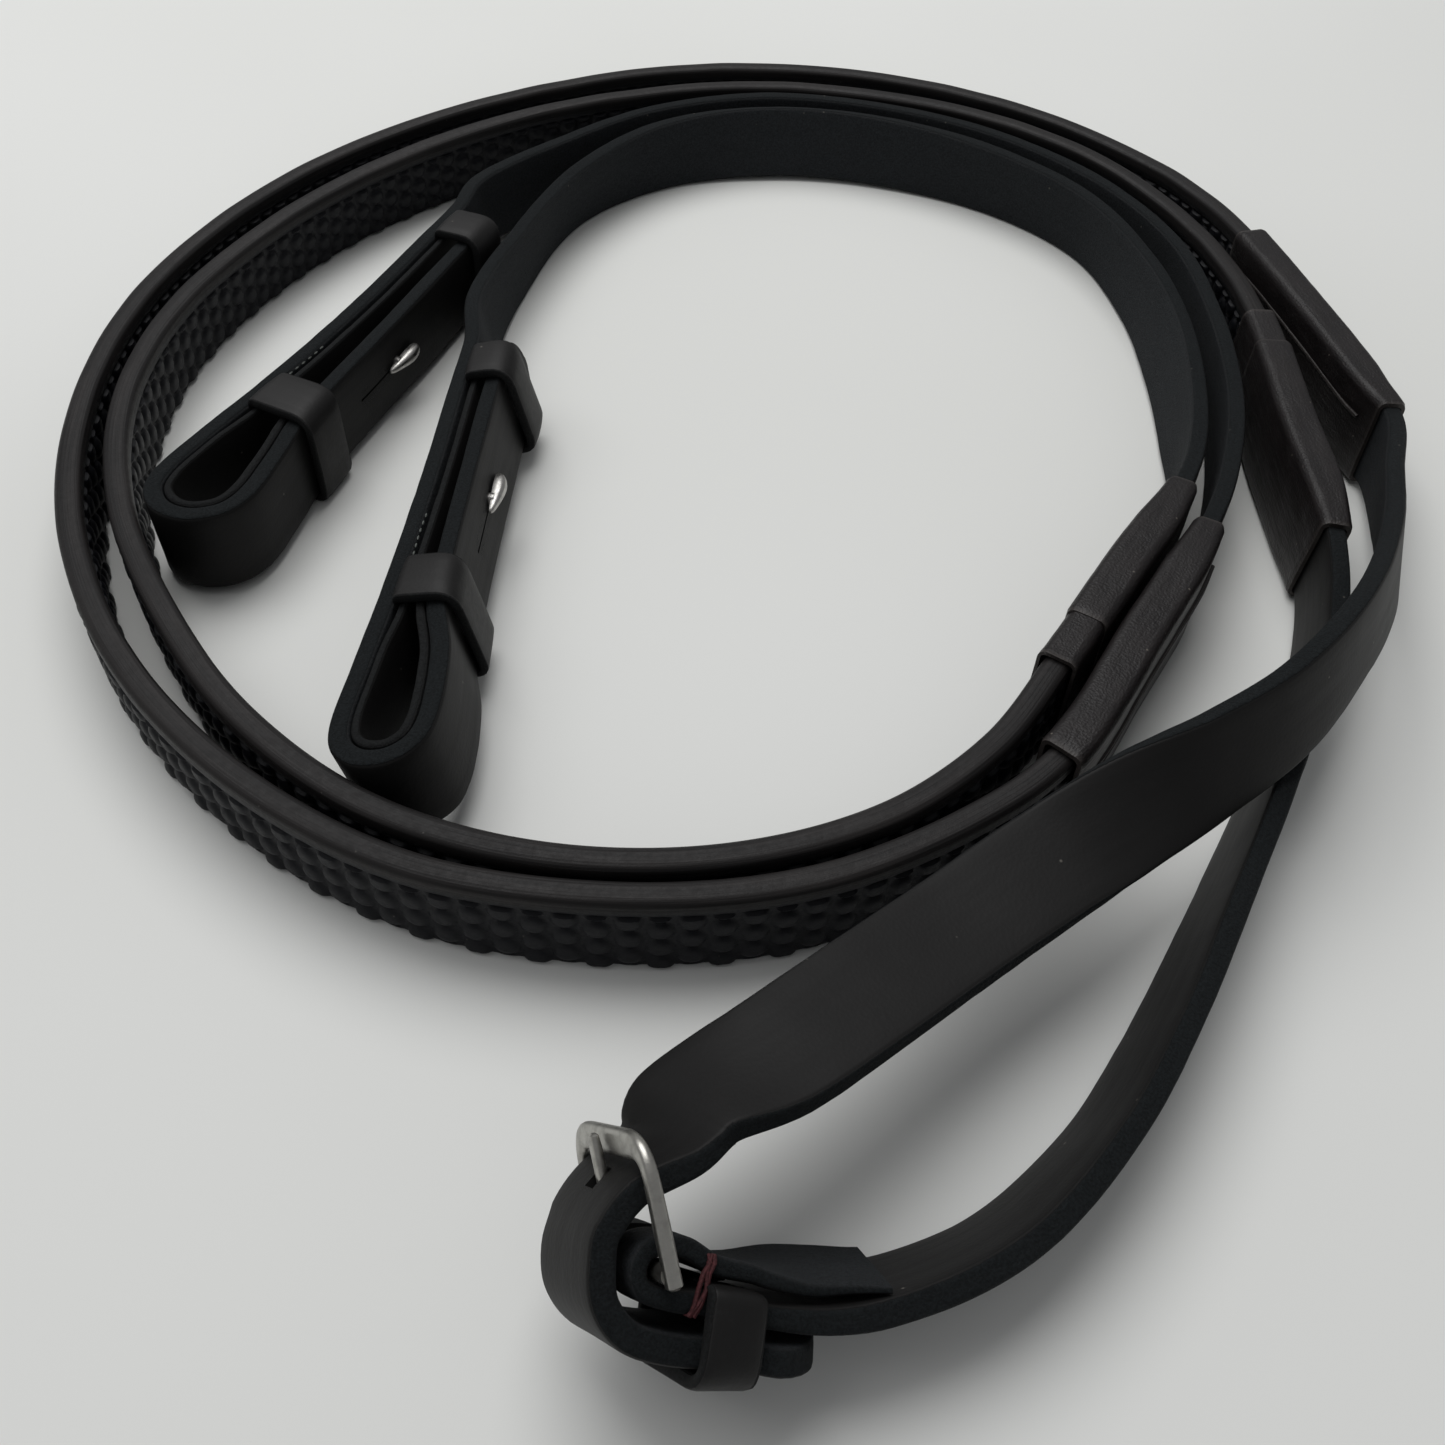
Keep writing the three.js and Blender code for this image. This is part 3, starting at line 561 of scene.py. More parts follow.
def leather(name, grain, flesh, edge, roughness=0.5, wear_and_sheen=0.5, specular=0.35):
    """Grain side with fine cells and streaks, rough flesh side, dark dyed cut edges, and a painted highlight
    along the rounded corners between them.
    """
    s = Shader(name)
    lane = s.attribute("lane", "Vector")
    on_edge = s.attribute("edge")
    on_flesh = s.attribute("flesh")
    mottle = s.noise(lane, 0.06, 4.0)
    streaks = s.noise(s.scaled(lane, (0.05, 0.9, 0.9)), 1.0, 4.0)
    pores = s.cells(lane, 1.9)
    fibres = s.noise(lane, 2.6, 5.0, 0.7)
    scuffs = s.spread(s.noise(lane, 0.32, 5.0, 0.65), 0.6, 0.74)
    specks = s.spread(s.cells(lane, 0.16), 0.05, 0.02)
    shade = s.spread(s.math("ADD", mottle, s.math("MULTIPLY", streaks, 0.5)), 0.45, 1.05)
    grain_colour = s.mix(shade, [c * 0.86 for c in grain], [c * 1.14 for c in grain])
    flesh_colour = s.mix(s.spread(fibres, 0.3, 0.7), [c * 0.6 for c in flesh], [c * 1.5 for c in flesh])
    edge_colour = s.mix(s.spread(fibres, 0.35, 0.65), [c * 0.65 for c in edge], [c * 1.4 for c in edge])
    colour = s.mix(s.math("MULTIPLY", scuffs, 0.35 * wear_and_sheen), grain_colour, [c * 2.6 for c in grain])
    colour = s.mix(on_flesh, colour, flesh_colour)
    ragged = s.math("ADD", on_edge, s.math("MULTIPLY", s.math("SUBTRACT", fibres, 0.5), 0.5))
    edge_share = s.spread(ragged, 0.35, 0.65)
    colour = s.mix(edge_share, colour, edge_colour)
    # Painted highlight: a lighter band along the rounded corners between the faces and the cut edges, scaled
    # together with the scuffs.
    rim = s.math("MULTIPLY", s.spread(on_edge, 0.02, 0.25), s.spread(on_edge, 0.75, 0.35))
    colour = s.mix(s.math("MULTIPLY", rim, 0.5 * wear_and_sheen), colour, [c * 2.4 for c in grain])
    colour = s.mix(s.math("MULTIPLY", specks, 0.55), colour, (0.16, 0.15, 0.13))
    rough = s.math("ADD", s.spread(streaks, 0.3, 0.7, roughness - 0.02, roughness + 0.03),
                   s.math("MULTIPLY", s.math("MAXIMUM", on_flesh, edge_share), 0.3))
    skin = s.bump(s.math("ADD", s.math("MULTIPLY", pores, 0.5), s.math("MULTIPLY", streaks, 0.06)), 0.00003)
    normal = s.bump(s.math("MULTIPLY", fibres, s.math("MAXIMUM", on_flesh, edge_share)), 0.0004, skin)
    return s.finish(colour, rough, normal, Specular_IOR_Level=specular)


def wrap_leather():
    """Thin brown-black leather drawn tight: satin, creased along and across."""
    s = Shader("wrap_leather")
    lane = s.attribute("lane", "Vector")
    on_edge = s.attribute("edge")
    mottle = s.noise(lane, 0.12, 4.0)
    pull = s.noise(s.scaled(lane, (0.12, 0.8, 0.8)), 1.0, 4.0, 0.6)
    pores = s.cells(lane, 2.4)
    scuffs = s.spread(s.noise(lane, 0.5, 5.0, 0.7), 0.62, 0.75)
    specks = s.spread(s.cells(lane, 0.2), 0.05, 0.02)
    shade = s.spread(s.math("ADD", mottle, s.math("MULTIPLY", pull, 0.6)), 0.5, 1.1)
    colour = s.mix(shade, (0.0062, 0.0048, 0.005), (0.0115, 0.009, 0.009))
    colour = s.mix(s.math("MULTIPLY", scuffs, 0.3), colour, (0.05, 0.04, 0.038))
    colour = s.mix(s.math("MULTIPLY", on_edge, 0.55), colour, (0.06, 0.052, 0.048))
    colour = s.mix(s.math("MULTIPLY", specks, 0.5), colour, (0.2, 0.18, 0.15))
    skin = s.bump(s.math("ADD", s.math("MULTIPLY", pores, 0.35), pull), 0.00016)
    rough = s.spread(pull, 0.3, 0.7, 0.4, 0.52)
    return s.finish(colour, rough, skin, Specular_IOR_Level=0.26)


def grip_rubber():
    """Black rubber: fine drawn lines and lighter worn patches on its top edge, which is painted lighter as
    light from above falls on it; matte and bluish, in painted shade, on the pimpled faces.
    """
    s = Shader("grip_rubber")
    lane = s.attribute("lane", "Vector")
    on_top = s.attribute("edge")
    lines = s.noise(s.scaled(lane, (0.02, 2.2, 2.2)), 1.0, 3.0)
    dust = s.noise(lane, 0.9, 4.0, 0.7)
    wear_and_sheen = s.spread(s.noise(s.scaled(lane, (0.03, 0.6, 0.6)), 1.0, 4.0), 0.42, 0.68)
    # Painted light and shade: the top band gets a lighter colour, as light from above falls on it, and the
    # pimpled faces a darker bluish one, as they are in shade.
    face = s.mix(s.spread(dust, 0.35, 0.7), (0.0028, 0.003, 0.0046), (0.0056, 0.006, 0.008))
    top = s.mix(s.spread(lines, 0.35, 0.65), (0.0062, 0.0055, 0.0056), (0.0115, 0.0103, 0.0102))
    top = s.mix(s.math("MULTIPLY", wear_and_sheen, 0.35), top, (0.03, 0.026, 0.025))
    colour = s.mix(on_top, face, top)
    specks = s.spread(s.cells(lane, 0.22), 0.045, 0.02)
    colour = s.mix(s.math("MULTIPLY", specks, 0.4), colour, (0.12, 0.11, 0.1))
    rough = s.math("ADD", s.spread(dust, 0.3, 0.7, 0.44, 0.56), s.math("MULTIPLY", on_top, 0.02))
    height = s.math("MULTIPLY", lines, on_top)
    normal = s.bump(s.noise(lane, 3.5, 3.0), 0.00004, s.bump(height, 0.00012))
    return s.finish(colour, rough, normal, Specular_IOR_Level=0.2)


def nickel(name, colour, roughness):
    """Nickel plate with fine brushing, small dents and dull patches."""
    s = Shader(name)
    lane = s.attribute("lane", "Vector")
    brush = s.noise(s.scaled(lane, (0.6, 5.0, 5.0)), 1.0, 4.0)
    dull = s.noise(lane, 0.7, 4.0)
    tint = s.mix(s.spread(dull, 0.4, 0.7), colour, [c * 0.78 for c in colour])
    rough = s.spread(s.math("ADD", brush, dull), 0.7, 1.3, roughness - 0.05, roughness + 0.14)
    normal = s.bump(dull, 0.00003, s.bump(brush, 0.000006))
    return s.finish(tint, rough, normal, Metallic=1.0)


def thread_material(name, colour):
    """Twisted thread."""
    s = Shader(name)
    lane = s.attribute("lane", "Vector")
    twist = s.noise(lane, 3.0, 3.0)
    tint = s.mix(s.spread(twist, 0.3, 0.7), [c * 0.6 for c in colour], [c * 1.3 for c in colour])
    return s.finish(tint, 0.75, s.bump(twist, 0.0001), Specular_IOR_Level=0.3)


STRAP = leather("strap_leather", (0.0078, 0.0075, 0.0074), (0.0165, 0.0185, 0.0205), (0.0086, 0.0104, 0.0114),
                0.55, 0.35, 0.17)
LINER = leather("liner_leather", (0.0078, 0.0075, 0.0075), (0.009, 0.0095, 0.0098), (0.0098, 0.0106, 0.011),
                0.55, 0.5, 0.18)
KEEPER = leather("keeper_leather", (0.0085, 0.0081, 0.008), (0.007, 0.007, 0.007),
                 (0.0074, 0.0078, 0.008), 0.52, 0.9, 0.22)
WRAP = wrap_leather()
RUBBER = grip_rubber()
STUD_METAL = nickel("stud_metal", (0.46, 0.45, 0.43), 0.3)
BUCKLE_METAL = nickel("buckle_metal", (0.42, 0.41, 0.38), 0.34)
BLACK_THREAD = thread_material("black_thread", (0.02, 0.02, 0.021))
PALE_THREAD = thread_material("pale_thread", (0.12, 0.13, 0.12))
RED_THREAD = thread_material("red_thread", (0.06, 0.014, 0.016))


# ---- Straps ----
STRAP_TEMPLATE = outline_template()


def strap(name, route, start, end, replaces, grain_side=1, width=STRAP_WIDTH, edge_radius=0.75,
          point_start=0.0, point_end=0.0, material=STRAP, thick=None, offset=None):
    """A flat strap with burnished edges. point_start and point_end round its ends over that length."""
    distances = route.steps(start, end)
    for length, fixed in ((point_start, start), (point_end, end)):
        if length:
            ways = length * (1 - np.cos(np.linspace(0, math.pi / 2, 9)))
            near = fixed + ways if fixed == start else fixed - ways
            distances = np.union1d(distances, near)
    widths = np.full(len(distances), float(width))
    for length, from_end in ((point_start, distances - start), (point_end, end - distances)):
        if length:
            share = np.clip(1 - from_end / length, 0, 1)
            widths = np.minimum(widths, width * np.maximum(np.sqrt(1 - share ** 2), 0.2))
    thicks = route.section(distances)[4] if thick is None else np.full(len(distances), float(thick))
    radii = np.minimum(edge_radius, thicks * 0.42)
    outline = rounded_outline(STRAP_TEMPLATE, thicks, widths, radii)
    _, _, ax, ay = STRAP_TEMPLATE.T
    lane = lane_of(distances, outline)
    swell = 0.09 * value_noise(lane * 0.07, 3) + 0.05 * value_noise(lane * 0.35, 7)
    outline = outline + swell[..., None] * np.stack([ax, ay], -1)
    if offset is not None:
        outline = outline + np.stack([offset(distances), np.zeros(len(distances))], -1)[:, None]
    marks = {"edge": ay ** 2, "flesh": np.clip(-grain_side * ax, 0, 1)}
    faces = ring_faces(len(distances), len(STRAP_TEMPLATE), False)
    return make_piece(name, on_route(route, distances, outline), faces, material, replaces,
                      lane=lane, marks=marks)


# ---- Keepers: a leather band with rounded rims and thin ends tucked in behind the strap ----
KEEPER_WALL = 1.75
KEEPER_FLOOR_WALL = 1.15
KEEPER_RIM = 0.75
RIM_DROP = 0.16
INNER_RADII = (0.25, 1.9, 1.5, 0.25)
OUTER_RADII = (1.6, 4.4, 3.2, 0.9)
KEEPER_BULGE = 0.2
KEEPER_WEAR = 0.006


def rounded_path(corners, radii, steps=7):
    """Points along a line whose corners are rounded, the same number for each corner."""
    points = [corners[0]]
    for before, corner, after, radius in zip(corners, corners[1:], corners[2:], radii):
        into, out = unit(corner - before), unit(after - corner)
        start, end = corner - into * radius, corner + out * radius
        for share in np.linspace(0, 1, steps):
            bend = (1 - share) ** 2 * start + 2 * share * (1 - share) * corner + share ** 2 * end
            points.append(bend)
    points.append(corners[-1])
    fine = []
    for a, b in zip(points, points[1:]):
        fine += [a, (a + b) / 2]
    return np.array(fine + [points[-1]])


def band_reach(route, distance, other, start, end):
    """How far a keeper's inside reaches, from one strap's middle line to another's outer face."""
    centre, along, _, side, _ = [v[0] for v in route.section(np.array([distance]))]
    there, _, _, _, thick = other.section(np.arange(start, end, 0.25))
    nearest = np.abs((there - centre) @ along).argmin()
    return abs((there[nearest] - centre) @ side) + thick[nearest] / 2 + 2 * GAP


def rim_ways(start, length):
    """(distance, share of the wall) round a band's section: out along its inside, back along its outside."""
    end = start + length
    body = np.linspace(start + KEEPER_RIM, end - KEEPER_RIM, 6)
    far_rim = [(end - RIM_DROP, 0.1), (end, 0.34), (end, 0.66), (end - RIM_DROP, 0.9)]
    near_rim = [(start + RIM_DROP, 0.9), (start, 0.66), (start, 0.34), (start + RIM_DROP, 0.1)]
    return [(d, 0.0) for d in body] + far_rim + [(d, 1.0) for d in body[::-1]] + near_rim


def keeper(name, route, start, length, other, span, turn, replaces, wall=KEEPER_WALL, round_near=False):
    """turn is the side that the band stands on, 1 or -1. round_near takes the strap itself inside too."""
    ways = rim_ways(start, length)
    half = STRAP_WIDTH / 2 + GAP
    columns, lanes = [], []
    for distance, share in ways:
        reach = band_reach(route, distance, other, *span)
        centre, _, across, side, thick = [v[0] for v in route.section(np.array([distance]))]
        root = -(thick / 2 + GAP + TAB_THICK) if round_near else thick / 2 + GAP
        seat, tab_end = root + TAB_THICK, half - TAB_DEPTH
        inside = [(seat, tab_end), (seat, half), (reach, half),
                  (reach, -half), (seat, -half), (seat, -tab_end)]
        top, foot, back = half + wall, -half - KEEPER_FLOOR_WALL, reach + wall
        outside = [(root, tab_end), (root, top), (back, top), (back, foot), (root, foot), (root, -tab_end)]
        inner = rounded_path(np.array(inside), INNER_RADII)
        outer = rounded_path(np.array(outside), OUTER_RADII)
        bulge = KEEPER_BULGE * (1 - (2 * (distance - start) / length - 1) ** 2) if share == 1 else 0
        path = inner + (outer - inner) * (share + bulge)
        wear = value_noise(np.c_[path * 0.2, np.full(len(path), distance * 0.2)], 5 + turn)
        path = path * (1 + KEEPER_WEAR * wear[:, None])
        columns.append(centre + turn * path[:, :1] * side + path[:, 1:] * across)
        lanes.append(np.c_[path, np.full(len(path), distance)])
    rings, lane = np.stack(columns, 1), np.stack(lanes, 1)
    marks = {"edge": np.array([float(0 < share < 1) for _, share in ways]),
             "flesh": np.array([float(share == 0) for _, share in ways])}
    make_piece(name, rings, ring_faces(*rings.shape[:2], False), KEEPER, replaces,
               lane=lane, marks=marks)


# ---- Billets ----
STUD_HEAD = {"foot": -3.3, "nose": 6.9, "height": 2.15, "half_width": 1.45}
STUD_HOLE_LENGTH = 3.6
STUD_HOLE_RADIUS = 1.6
SLIT_HALF_WIDTH = 0.24
HOLE_DEPTH = 8
LINER_WIDTH = 15.8
WASHER_PROFILE = [(3.0, 0), (3.05, 0.25), (2.8, 0.55), (2.2, 0.75), (1.7, 0.8)]
RIVET_PROFILE = [(1.65, 0.7), (1.6, 0.95), (1.3, 1.15), (0.8, 1.28), (0.3, 1.32)]
STITCH_LENGTH = 1.9
STITCH_LIFT = 0.22
STITCH_PITCH = 2.9
STITCH_RADIUS = 0.24
STITCH_ROWS = (-5.6, 5.6)
SEAM_PITCH = 1.9
SEAM_RADIUS = 0.15
SEAM_SPAN = (36, 58)
LOOP_TIP_SEARCH = (60, 180)
OUTER_SEARCH_END = 300
OUTER_SIDE_ACROSS, RETURN_SIDE_ACROSS = 1, 9


def domed_ring(x, base, height, half, points=14):
    """One slice of a domed head: a flat foot and a rounded back, as (x, y, z) in the stud's axes."""
    angles = np.linspace(0, math.pi, points)
    y = base + height * np.sin(angles) ** 0.75
    return np.c_[np.full(points, x), y, half * np.sign(np.cos(angles)) * np.abs(np.cos(angles)) ** 0.8]


def round_rings(profile, axis_points=20):
    """Rings of a turned shape about the Y axis from (radius, y) pairs."""
    angles = np.linspace(0, 2 * math.pi, axis_points, endpoint=False)
    return np.stack([np.c_[r * np.cos(angles), np.full(axis_points, y), r * np.sin(angles)]
                     for r, y in profile])


def hook_stud(key, origin, axes, span):
    """A shank through the layers and a half-round hook that lies along the return strap."""
    base = span + STRAP_THICK / 2 + GAP
    foot, nose, height, half_width = STUD_HEAD.values()
    middle, radius = (foot + nose) / 2, (nose - foot) / 2
    slices = []
    for angle in np.linspace(math.pi, 0, 19):
        x = middle + radius * math.cos(angle)
        share = max(math.sin(angle), 0.12)
        fuller = 0.6 + 0.4 * smoothstep(x, foot, nose - 2)
        slices.append(domed_ring(x, base, height * fuller * share ** 0.7, half_width * fuller * share ** 0.5))
    neck = [(STUD_RADIUS, -STRAP_THICK / 2 - GAP), (STUD_RADIUS, base - 0.2), (STUD_RADIUS * 0.9, base + 0.6)]
    points, faces = joined_parts([np.stack(slices), round_rings(neck)])
    make_piece(f"hook_stud_{key}_metal", origin + points @ axes, faces, STUD_METAL,
               [f"hook_stud_{key}"], lane=points)


def stud_washer(key, origin, axes):
    """The stud's back: a domed washer with the rivet end spread over it."""
    face = -STRAP_THICK / 2 - GAP / 3
    washer, rivet = [[(radius, face - depth) for radius, depth in profile]
                     for profile in (WASHER_PROFILE, RIVET_PROFILE)]
    points, faces = joined_parts([round_rings(washer, 28), round_rings(rivet)])
    make_piece(f"stud_washer_{key}_metal", origin + points @ axes, faces, STUD_METAL,
               [f"stud_washer_{key}"], lane=points)


def billet_stitches(key, route, start, end):
    """Two rows of short slanting stitches on the billet's outer face."""
    ways = np.array([-0.5, -0.3, 0, 0.3, 0.5]) * STITCH_LENGTH
    height = STRAP_THICK / 2 + 0.05 + np.array([-0.3, 0.15, 1, 0.15, -0.3]) * STITCH_LIFT
    paths = []
    for width in STITCH_ROWS:
        for distance in np.arange(start, end, STITCH_PITCH):
            centre, _, across, side, _ = route.section(distance + ways)
            paths.append(centre + height[:, None] * side + (width + ways[:, None] * 0.12) * across)
    points, faces = tube_faces(paths, STITCH_RADIUS)
    make_piece(f"billet_stitches_{key}", points, faces, BLACK_THREAD)


def seam_thread(key, route, start, end):
    """Pale thread that shows between the strap's and the liner's top edges."""
    paths = []
    for distance in np.arange(start, end, SEAM_PITCH):
        centre, _, across, side, _ = route.section(distance + np.linspace(-0.5, 0.5, 4))
        slack = -(STRAP_THICK / 2 + 0.35) + 0.12 * math.sin(3.7 * distance)
        paths.append(centre + slack * side + (STRAP_WIDTH / 2 - 0.18) * across)
    points, faces = tube_faces(paths, SEAM_RADIUS, 5)
    make_piece(f"seam_thread_{key}", points, faces, PALE_THREAD)


def billet_strap(key, billet, route, hole_centre):
    """The front strap, with the stud's hole and the slit that lets its head through."""
    wrap = REINS[key]["front_wrap"]
    piece = strap(f"front_strap_{key}_leather", route, 0, (wrap[0] + wrap[1]) / 2, [f"front_strap_{key}"],
                  point_start=7)
    slit_centre = hole_centre - billet.heading * SLIT_LENGTH / 2
    cuts = ((hole_centre, STUD_HOLE_LENGTH, STUD_HOLE_RADIUS), (slit_centre, SLIT_LENGTH, SLIT_HALF_WIDTH))
    carve(piece, *[capsule_cutter(centre, billet.heading, length, radius, billet.rightward, HOLE_DEPTH)
                   for centre, length, radius in cuts])


def billet_liner(key, billet, route, start, end, loose, stud_centre):
    """The liner, which stands away from the strap where the keepers' ends are sewn in between."""
    def offset(distances):
        behind = GAP + smoothstep(distances, *loose) * (TAB_THICK + GAP)
        return -(STRAP_THICK / 2 + behind + LINER_THICK / 2)

    liner = strap(f"billet_liner_{key}_leather", route, start, end, [f"billet_liner_{key}"], grain_side=-1,
                  width=LINER_WIDTH, edge_radius=0.5, thick=LINER_THICK, material=LINER,
                  offset=offset)
    hole_centre = stud_centre + 2 * LINER_THICK * billet.rightward
    carve(liner, capsule_cutter(hole_centre, billet.heading, STUD_HOLE_LENGTH, STUD_HOLE_RADIUS,
                                billet.rightward, HOLE_DEPTH / 2))


def build_billet(key):
    facts, billet, route = BILLETS[key], billets[key], routes[key]
    loop_tip = route.nearest(billet.point(0, facts["loop"][1]), *LOOP_TIP_SEARCH)

    def on_outer(along):
        return route.nearest(billet.point(along, OUTER_SIDE_ACROSS), loop_tip, OUTER_SEARCH_END)

    def on_return(along):
        return route.nearest(billet.point(along, RETURN_SIDE_ACROSS), 0, loop_tip)

    axes = np.array([billet.heading, billet.rightward, -billet.upright])
    stud_centre, return_centre = [route.section(np.array([place]))[0][0]
                                  for place in (on_outer(facts["stud"]), on_return(facts["stud"]))]
    span = float((return_centre - stud_centre) @ billet.rightward)
    billet_strap(key, billet, route, stud_centre + span * billet.rightward)
    loose = on_outer(LOOP_END), on_outer(facts["lower_keeper"])
    liner_to = on_outer(facts["upper_keeper"] + KEEPER_LENGTH + 2)
    billet_liner(key, billet, route, on_return(facts["liner_end"]), liner_to, loose, stud_centre)
    for place in ("lower", "upper"):
        keeper(f"{place}_keeper_{key}_leather", route, on_outer(facts[f"{place}_keeper"]), KEEPER_LENGTH,
               route, (0, loop_tip), -1, [f"{place}_keeper_{key}"])
    hook_stud(key, stud_centre, axes, span)
    stud_washer(key, stud_centre, axes)
    billet_stitches(key, route, on_outer(LOOP_END + 2), liner_to - 2)
    seam_thread(key, route, *[on_outer(along) for along in SEAM_SPAN])


# ---- Rubber grip ----
PIMPLE_PITCH = 4.3
PIMPLE_RADIUS = 2.02
PIMPLE_HEIGHT = 0.85
PIMPLE_ROW_PITCH = PIMPLE_PITCH / 1.02
FIRST_ROWS = (3.1, 1.0)
COLUMN_STEPS = 12
LIP_HEIGHT = 3.6
LIP_HALF_THICK = GRIP_THICK / 2 - 0.3
WEB_HALF_THICK = 1.65
CROWN_WIDTH, CROWN_HEIGHT = 1.55, 1.2


def pimples(along, height):
    """How far the face stands out at lengths along the grip and heights above its lower edge."""
    column = np.round(along / PIMPLE_PITCH)
    first = np.where(column % 2 == 0, *FIRST_ROWS)
    row = np.round((height - first) / PIMPLE_ROW_PITCH)
    away = np.hypot(along - column * PIMPLE_PITCH, height - first - row * PIMPLE_ROW_PITCH) / PIMPLE_RADIUS
    dome = np.clip(1 - np.clip(away, 0, 1) ** 2.6, 0, 1) ** 0.7
    dimple = 0.1 * np.exp(-(away / 0.35) ** 2)
    top = GRIP_HEIGHT - LIP_HEIGHT
    inside = smoothstep(height, top + 0.1, top - 0.35) * smoothstep(height, 0.2, 0.7)
    return PIMPLE_HEIGHT * (dome - dimple) * inside


def grip_profile():
    """Heights and half thicknesses up one face of the rubber: foot, web, lip and rounded crown."""
    lip, web, lip_foot = LIP_HALF_THICK, WEB_HALF_THICK, GRIP_HEIGHT - LIP_HEIGHT
    face = np.linspace(0.75, lip_foot, 36)
    angles = np.radians([18, 36, 54, 72, 90])
    heights = [[0.0, 0.12, 0.38], face, lip_foot + np.array([0.3, 0.6, 1.0, 1.8, 2.4]),
               GRIP_HEIGHT - CROWN_HEIGHT * (1 - np.sin(angles))]
    halves = [[web - 0.7, web - 0.25, web - 0.05], np.full(len(face), web),
              [web + 0.12, lip - 0.12, lip, lip, lip - 0.06], lip - CROWN_WIDTH * (1 - np.cos(angles))]
    return np.concatenate(heights), np.concatenate(halves)


def grip(key):
    route = routes[key]
    front, hand = REINS[key]["front_wrap"], REINS[key]["hand_wrap"]
    start, end = front[1] - RUBBER_INTO_WRAP, hand[0] + RUBBER_INTO_WRAP
    distances = np.arange(start, end, PIMPLE_PITCH / COLUMN_STEPS)
    heights, halves = grip_profile()
    right = halves + pimples(distances[:, None] - front[1], heights[None, :])
    up = np.broadcast_to(heights - GRIP_HEIGHT / 2, right.shape)
    outline = np.concatenate([np.stack([right, up], -1), np.stack([-right, up], -1)[:, ::-1]], 1)
    lane = lane_of(distances, outline)
    rings = on_route(route, distances, outline + 0.05 * value_noise(lane * 0.12, 11)[..., None])
    # The top band of the rubber, which its material paints lighter as light from above falls on it.
    on_top = smoothstep(np.concatenate([heights, heights[::-1]]), GRIP_HEIGHT - 2.6, GRIP_HEIGHT - 1.6)
    make_piece(f"grip_rubber_{key}_pimpled", rings, ring_faces(*rings.shape[:2], False), RUBBER,
               [f"grip_rubber_{key}", f"grip_core_{key}"], lane=lane, marks={"edge": on_top})


# ---- Wraps: thin leather drawn round the join of strap and rubber ----
WRAP_TEMPLATE = outline_template(9, 9, 5)
WRAP_RADIUS = 1.6
WRAP_INNER_RADIUS = 0.9
WRAP_CLOSES_BY = {"thick": 1.7, "height": 1.0, "over": 15}
CUFF_LENGTH = 11
CUFF_OVERLAP = 4
CUFF_WALL = 0.5
SEAM_TEMPLATE = outline_template(4, 1, 1)
SEAM_THICK, SEAM_WIDTH, SEAM_CORNER = 0.9, 0.75, 0.32


def sleeve(name, route, start, end, thick, height, replaces=(), strap_end=None, wall=WRAP_WALL, seed=1,
           rim_proud=0.0):
    """A leather sleeve, open at both ends. strap_end names the end that closes down on the strap."""
    distances = route.steps(start, end, 0.9)
    from_strap = (distances - start) if strap_end == "start" else (end - distances)
    close = np.zeros(len(distances))
    if strap_end:
        close = 1 - smoothstep(from_strap, -1, WRAP_CLOSES_BY["over"])
    thicks = thick - close * WRAP_CLOSES_BY["thick"]
    heights = height - close * WRAP_CLOSES_BY["height"]
    outer = rounded_outline(WRAP_TEMPLATE, thicks, heights, WRAP_RADIUS)
    lane = lane_of(distances, rounded_outline(WRAP_TEMPLATE, thicks, heights, WRAP_RADIUS + 0.1))
    creases = 0.09 * value_noise(lane * [0.09, 0.3, 0.3], seed)
    creases += 0.035 * value_noise(lane * [0.5, 0.3, 0.3], seed + 1)
    ends = np.minimum(distances - start, end - distances)
    rim = rim_proud * np.exp(-(ends / 0.7) ** 2) - 0.25 * np.exp(-(ends / 0.16) ** 2)
    above, below = np.clip(WRAP_TEMPLATE[:, 3], 0, 1), np.clip(-WRAP_TEMPLATE[:, 3], 0, 1)
    swell = np.clip(creases, -0.3, 0.3) * (1 - 0.8 * below) + rim[:, None]
    outer = outer + swell[..., None] * WRAP_TEMPLATE[:, 2:]
    outer[..., 1] += 0.15 * above
    inner = rounded_outline(WRAP_TEMPLATE, thicks - 2 * wall, heights - 2 * wall, WRAP_INNER_RADIUS)
    rings = np.concatenate([on_route(route, distances, outer), on_route(route, distances, inner)[::-1]])
    lanes = np.concatenate([lane_of(distances, outer), lane_of(distances, inner)[::-1]])
    edge = np.exp(-(ends / 0.5) ** 2)
    make_piece(name, rings, ring_faces(*rings.shape[:2], True), WRAP, replaces,
               lane=lanes, marks={"edge": np.concatenate([edge, edge[::-1]])[:, None]})


def seam_ridge(name, route, start, end, side, height, lift):
    """The wrap's sewn edge: a thin ridge along one face, which sinks into the wrap at both ends."""
    distances = route.steps(start, end, 0.9)
    taper = smoothstep(np.minimum(distances - start, end - distances), -0.5, 6)
    thicks = np.full(len(distances), SEAM_THICK)
    outline = rounded_outline(SEAM_TEMPLATE, thicks, SEAM_WIDTH, SEAM_CORNER)
    outline[..., 0] += (side * (WRAP_THICK / 2 - SEAM_THICK / 2 + lift * taper))[:, None]
    outline[..., 1] += (height + 0.25 * value_noise(distances[:, None] * [0.09, 0, 0], 9))[:, None]
    rings = on_route(route, distances, outline)
    make_piece(name, rings, ring_faces(*rings.shape[:2], False), WRAP,
               lane=lane_of(distances, outline), marks={"edge": 0.6})


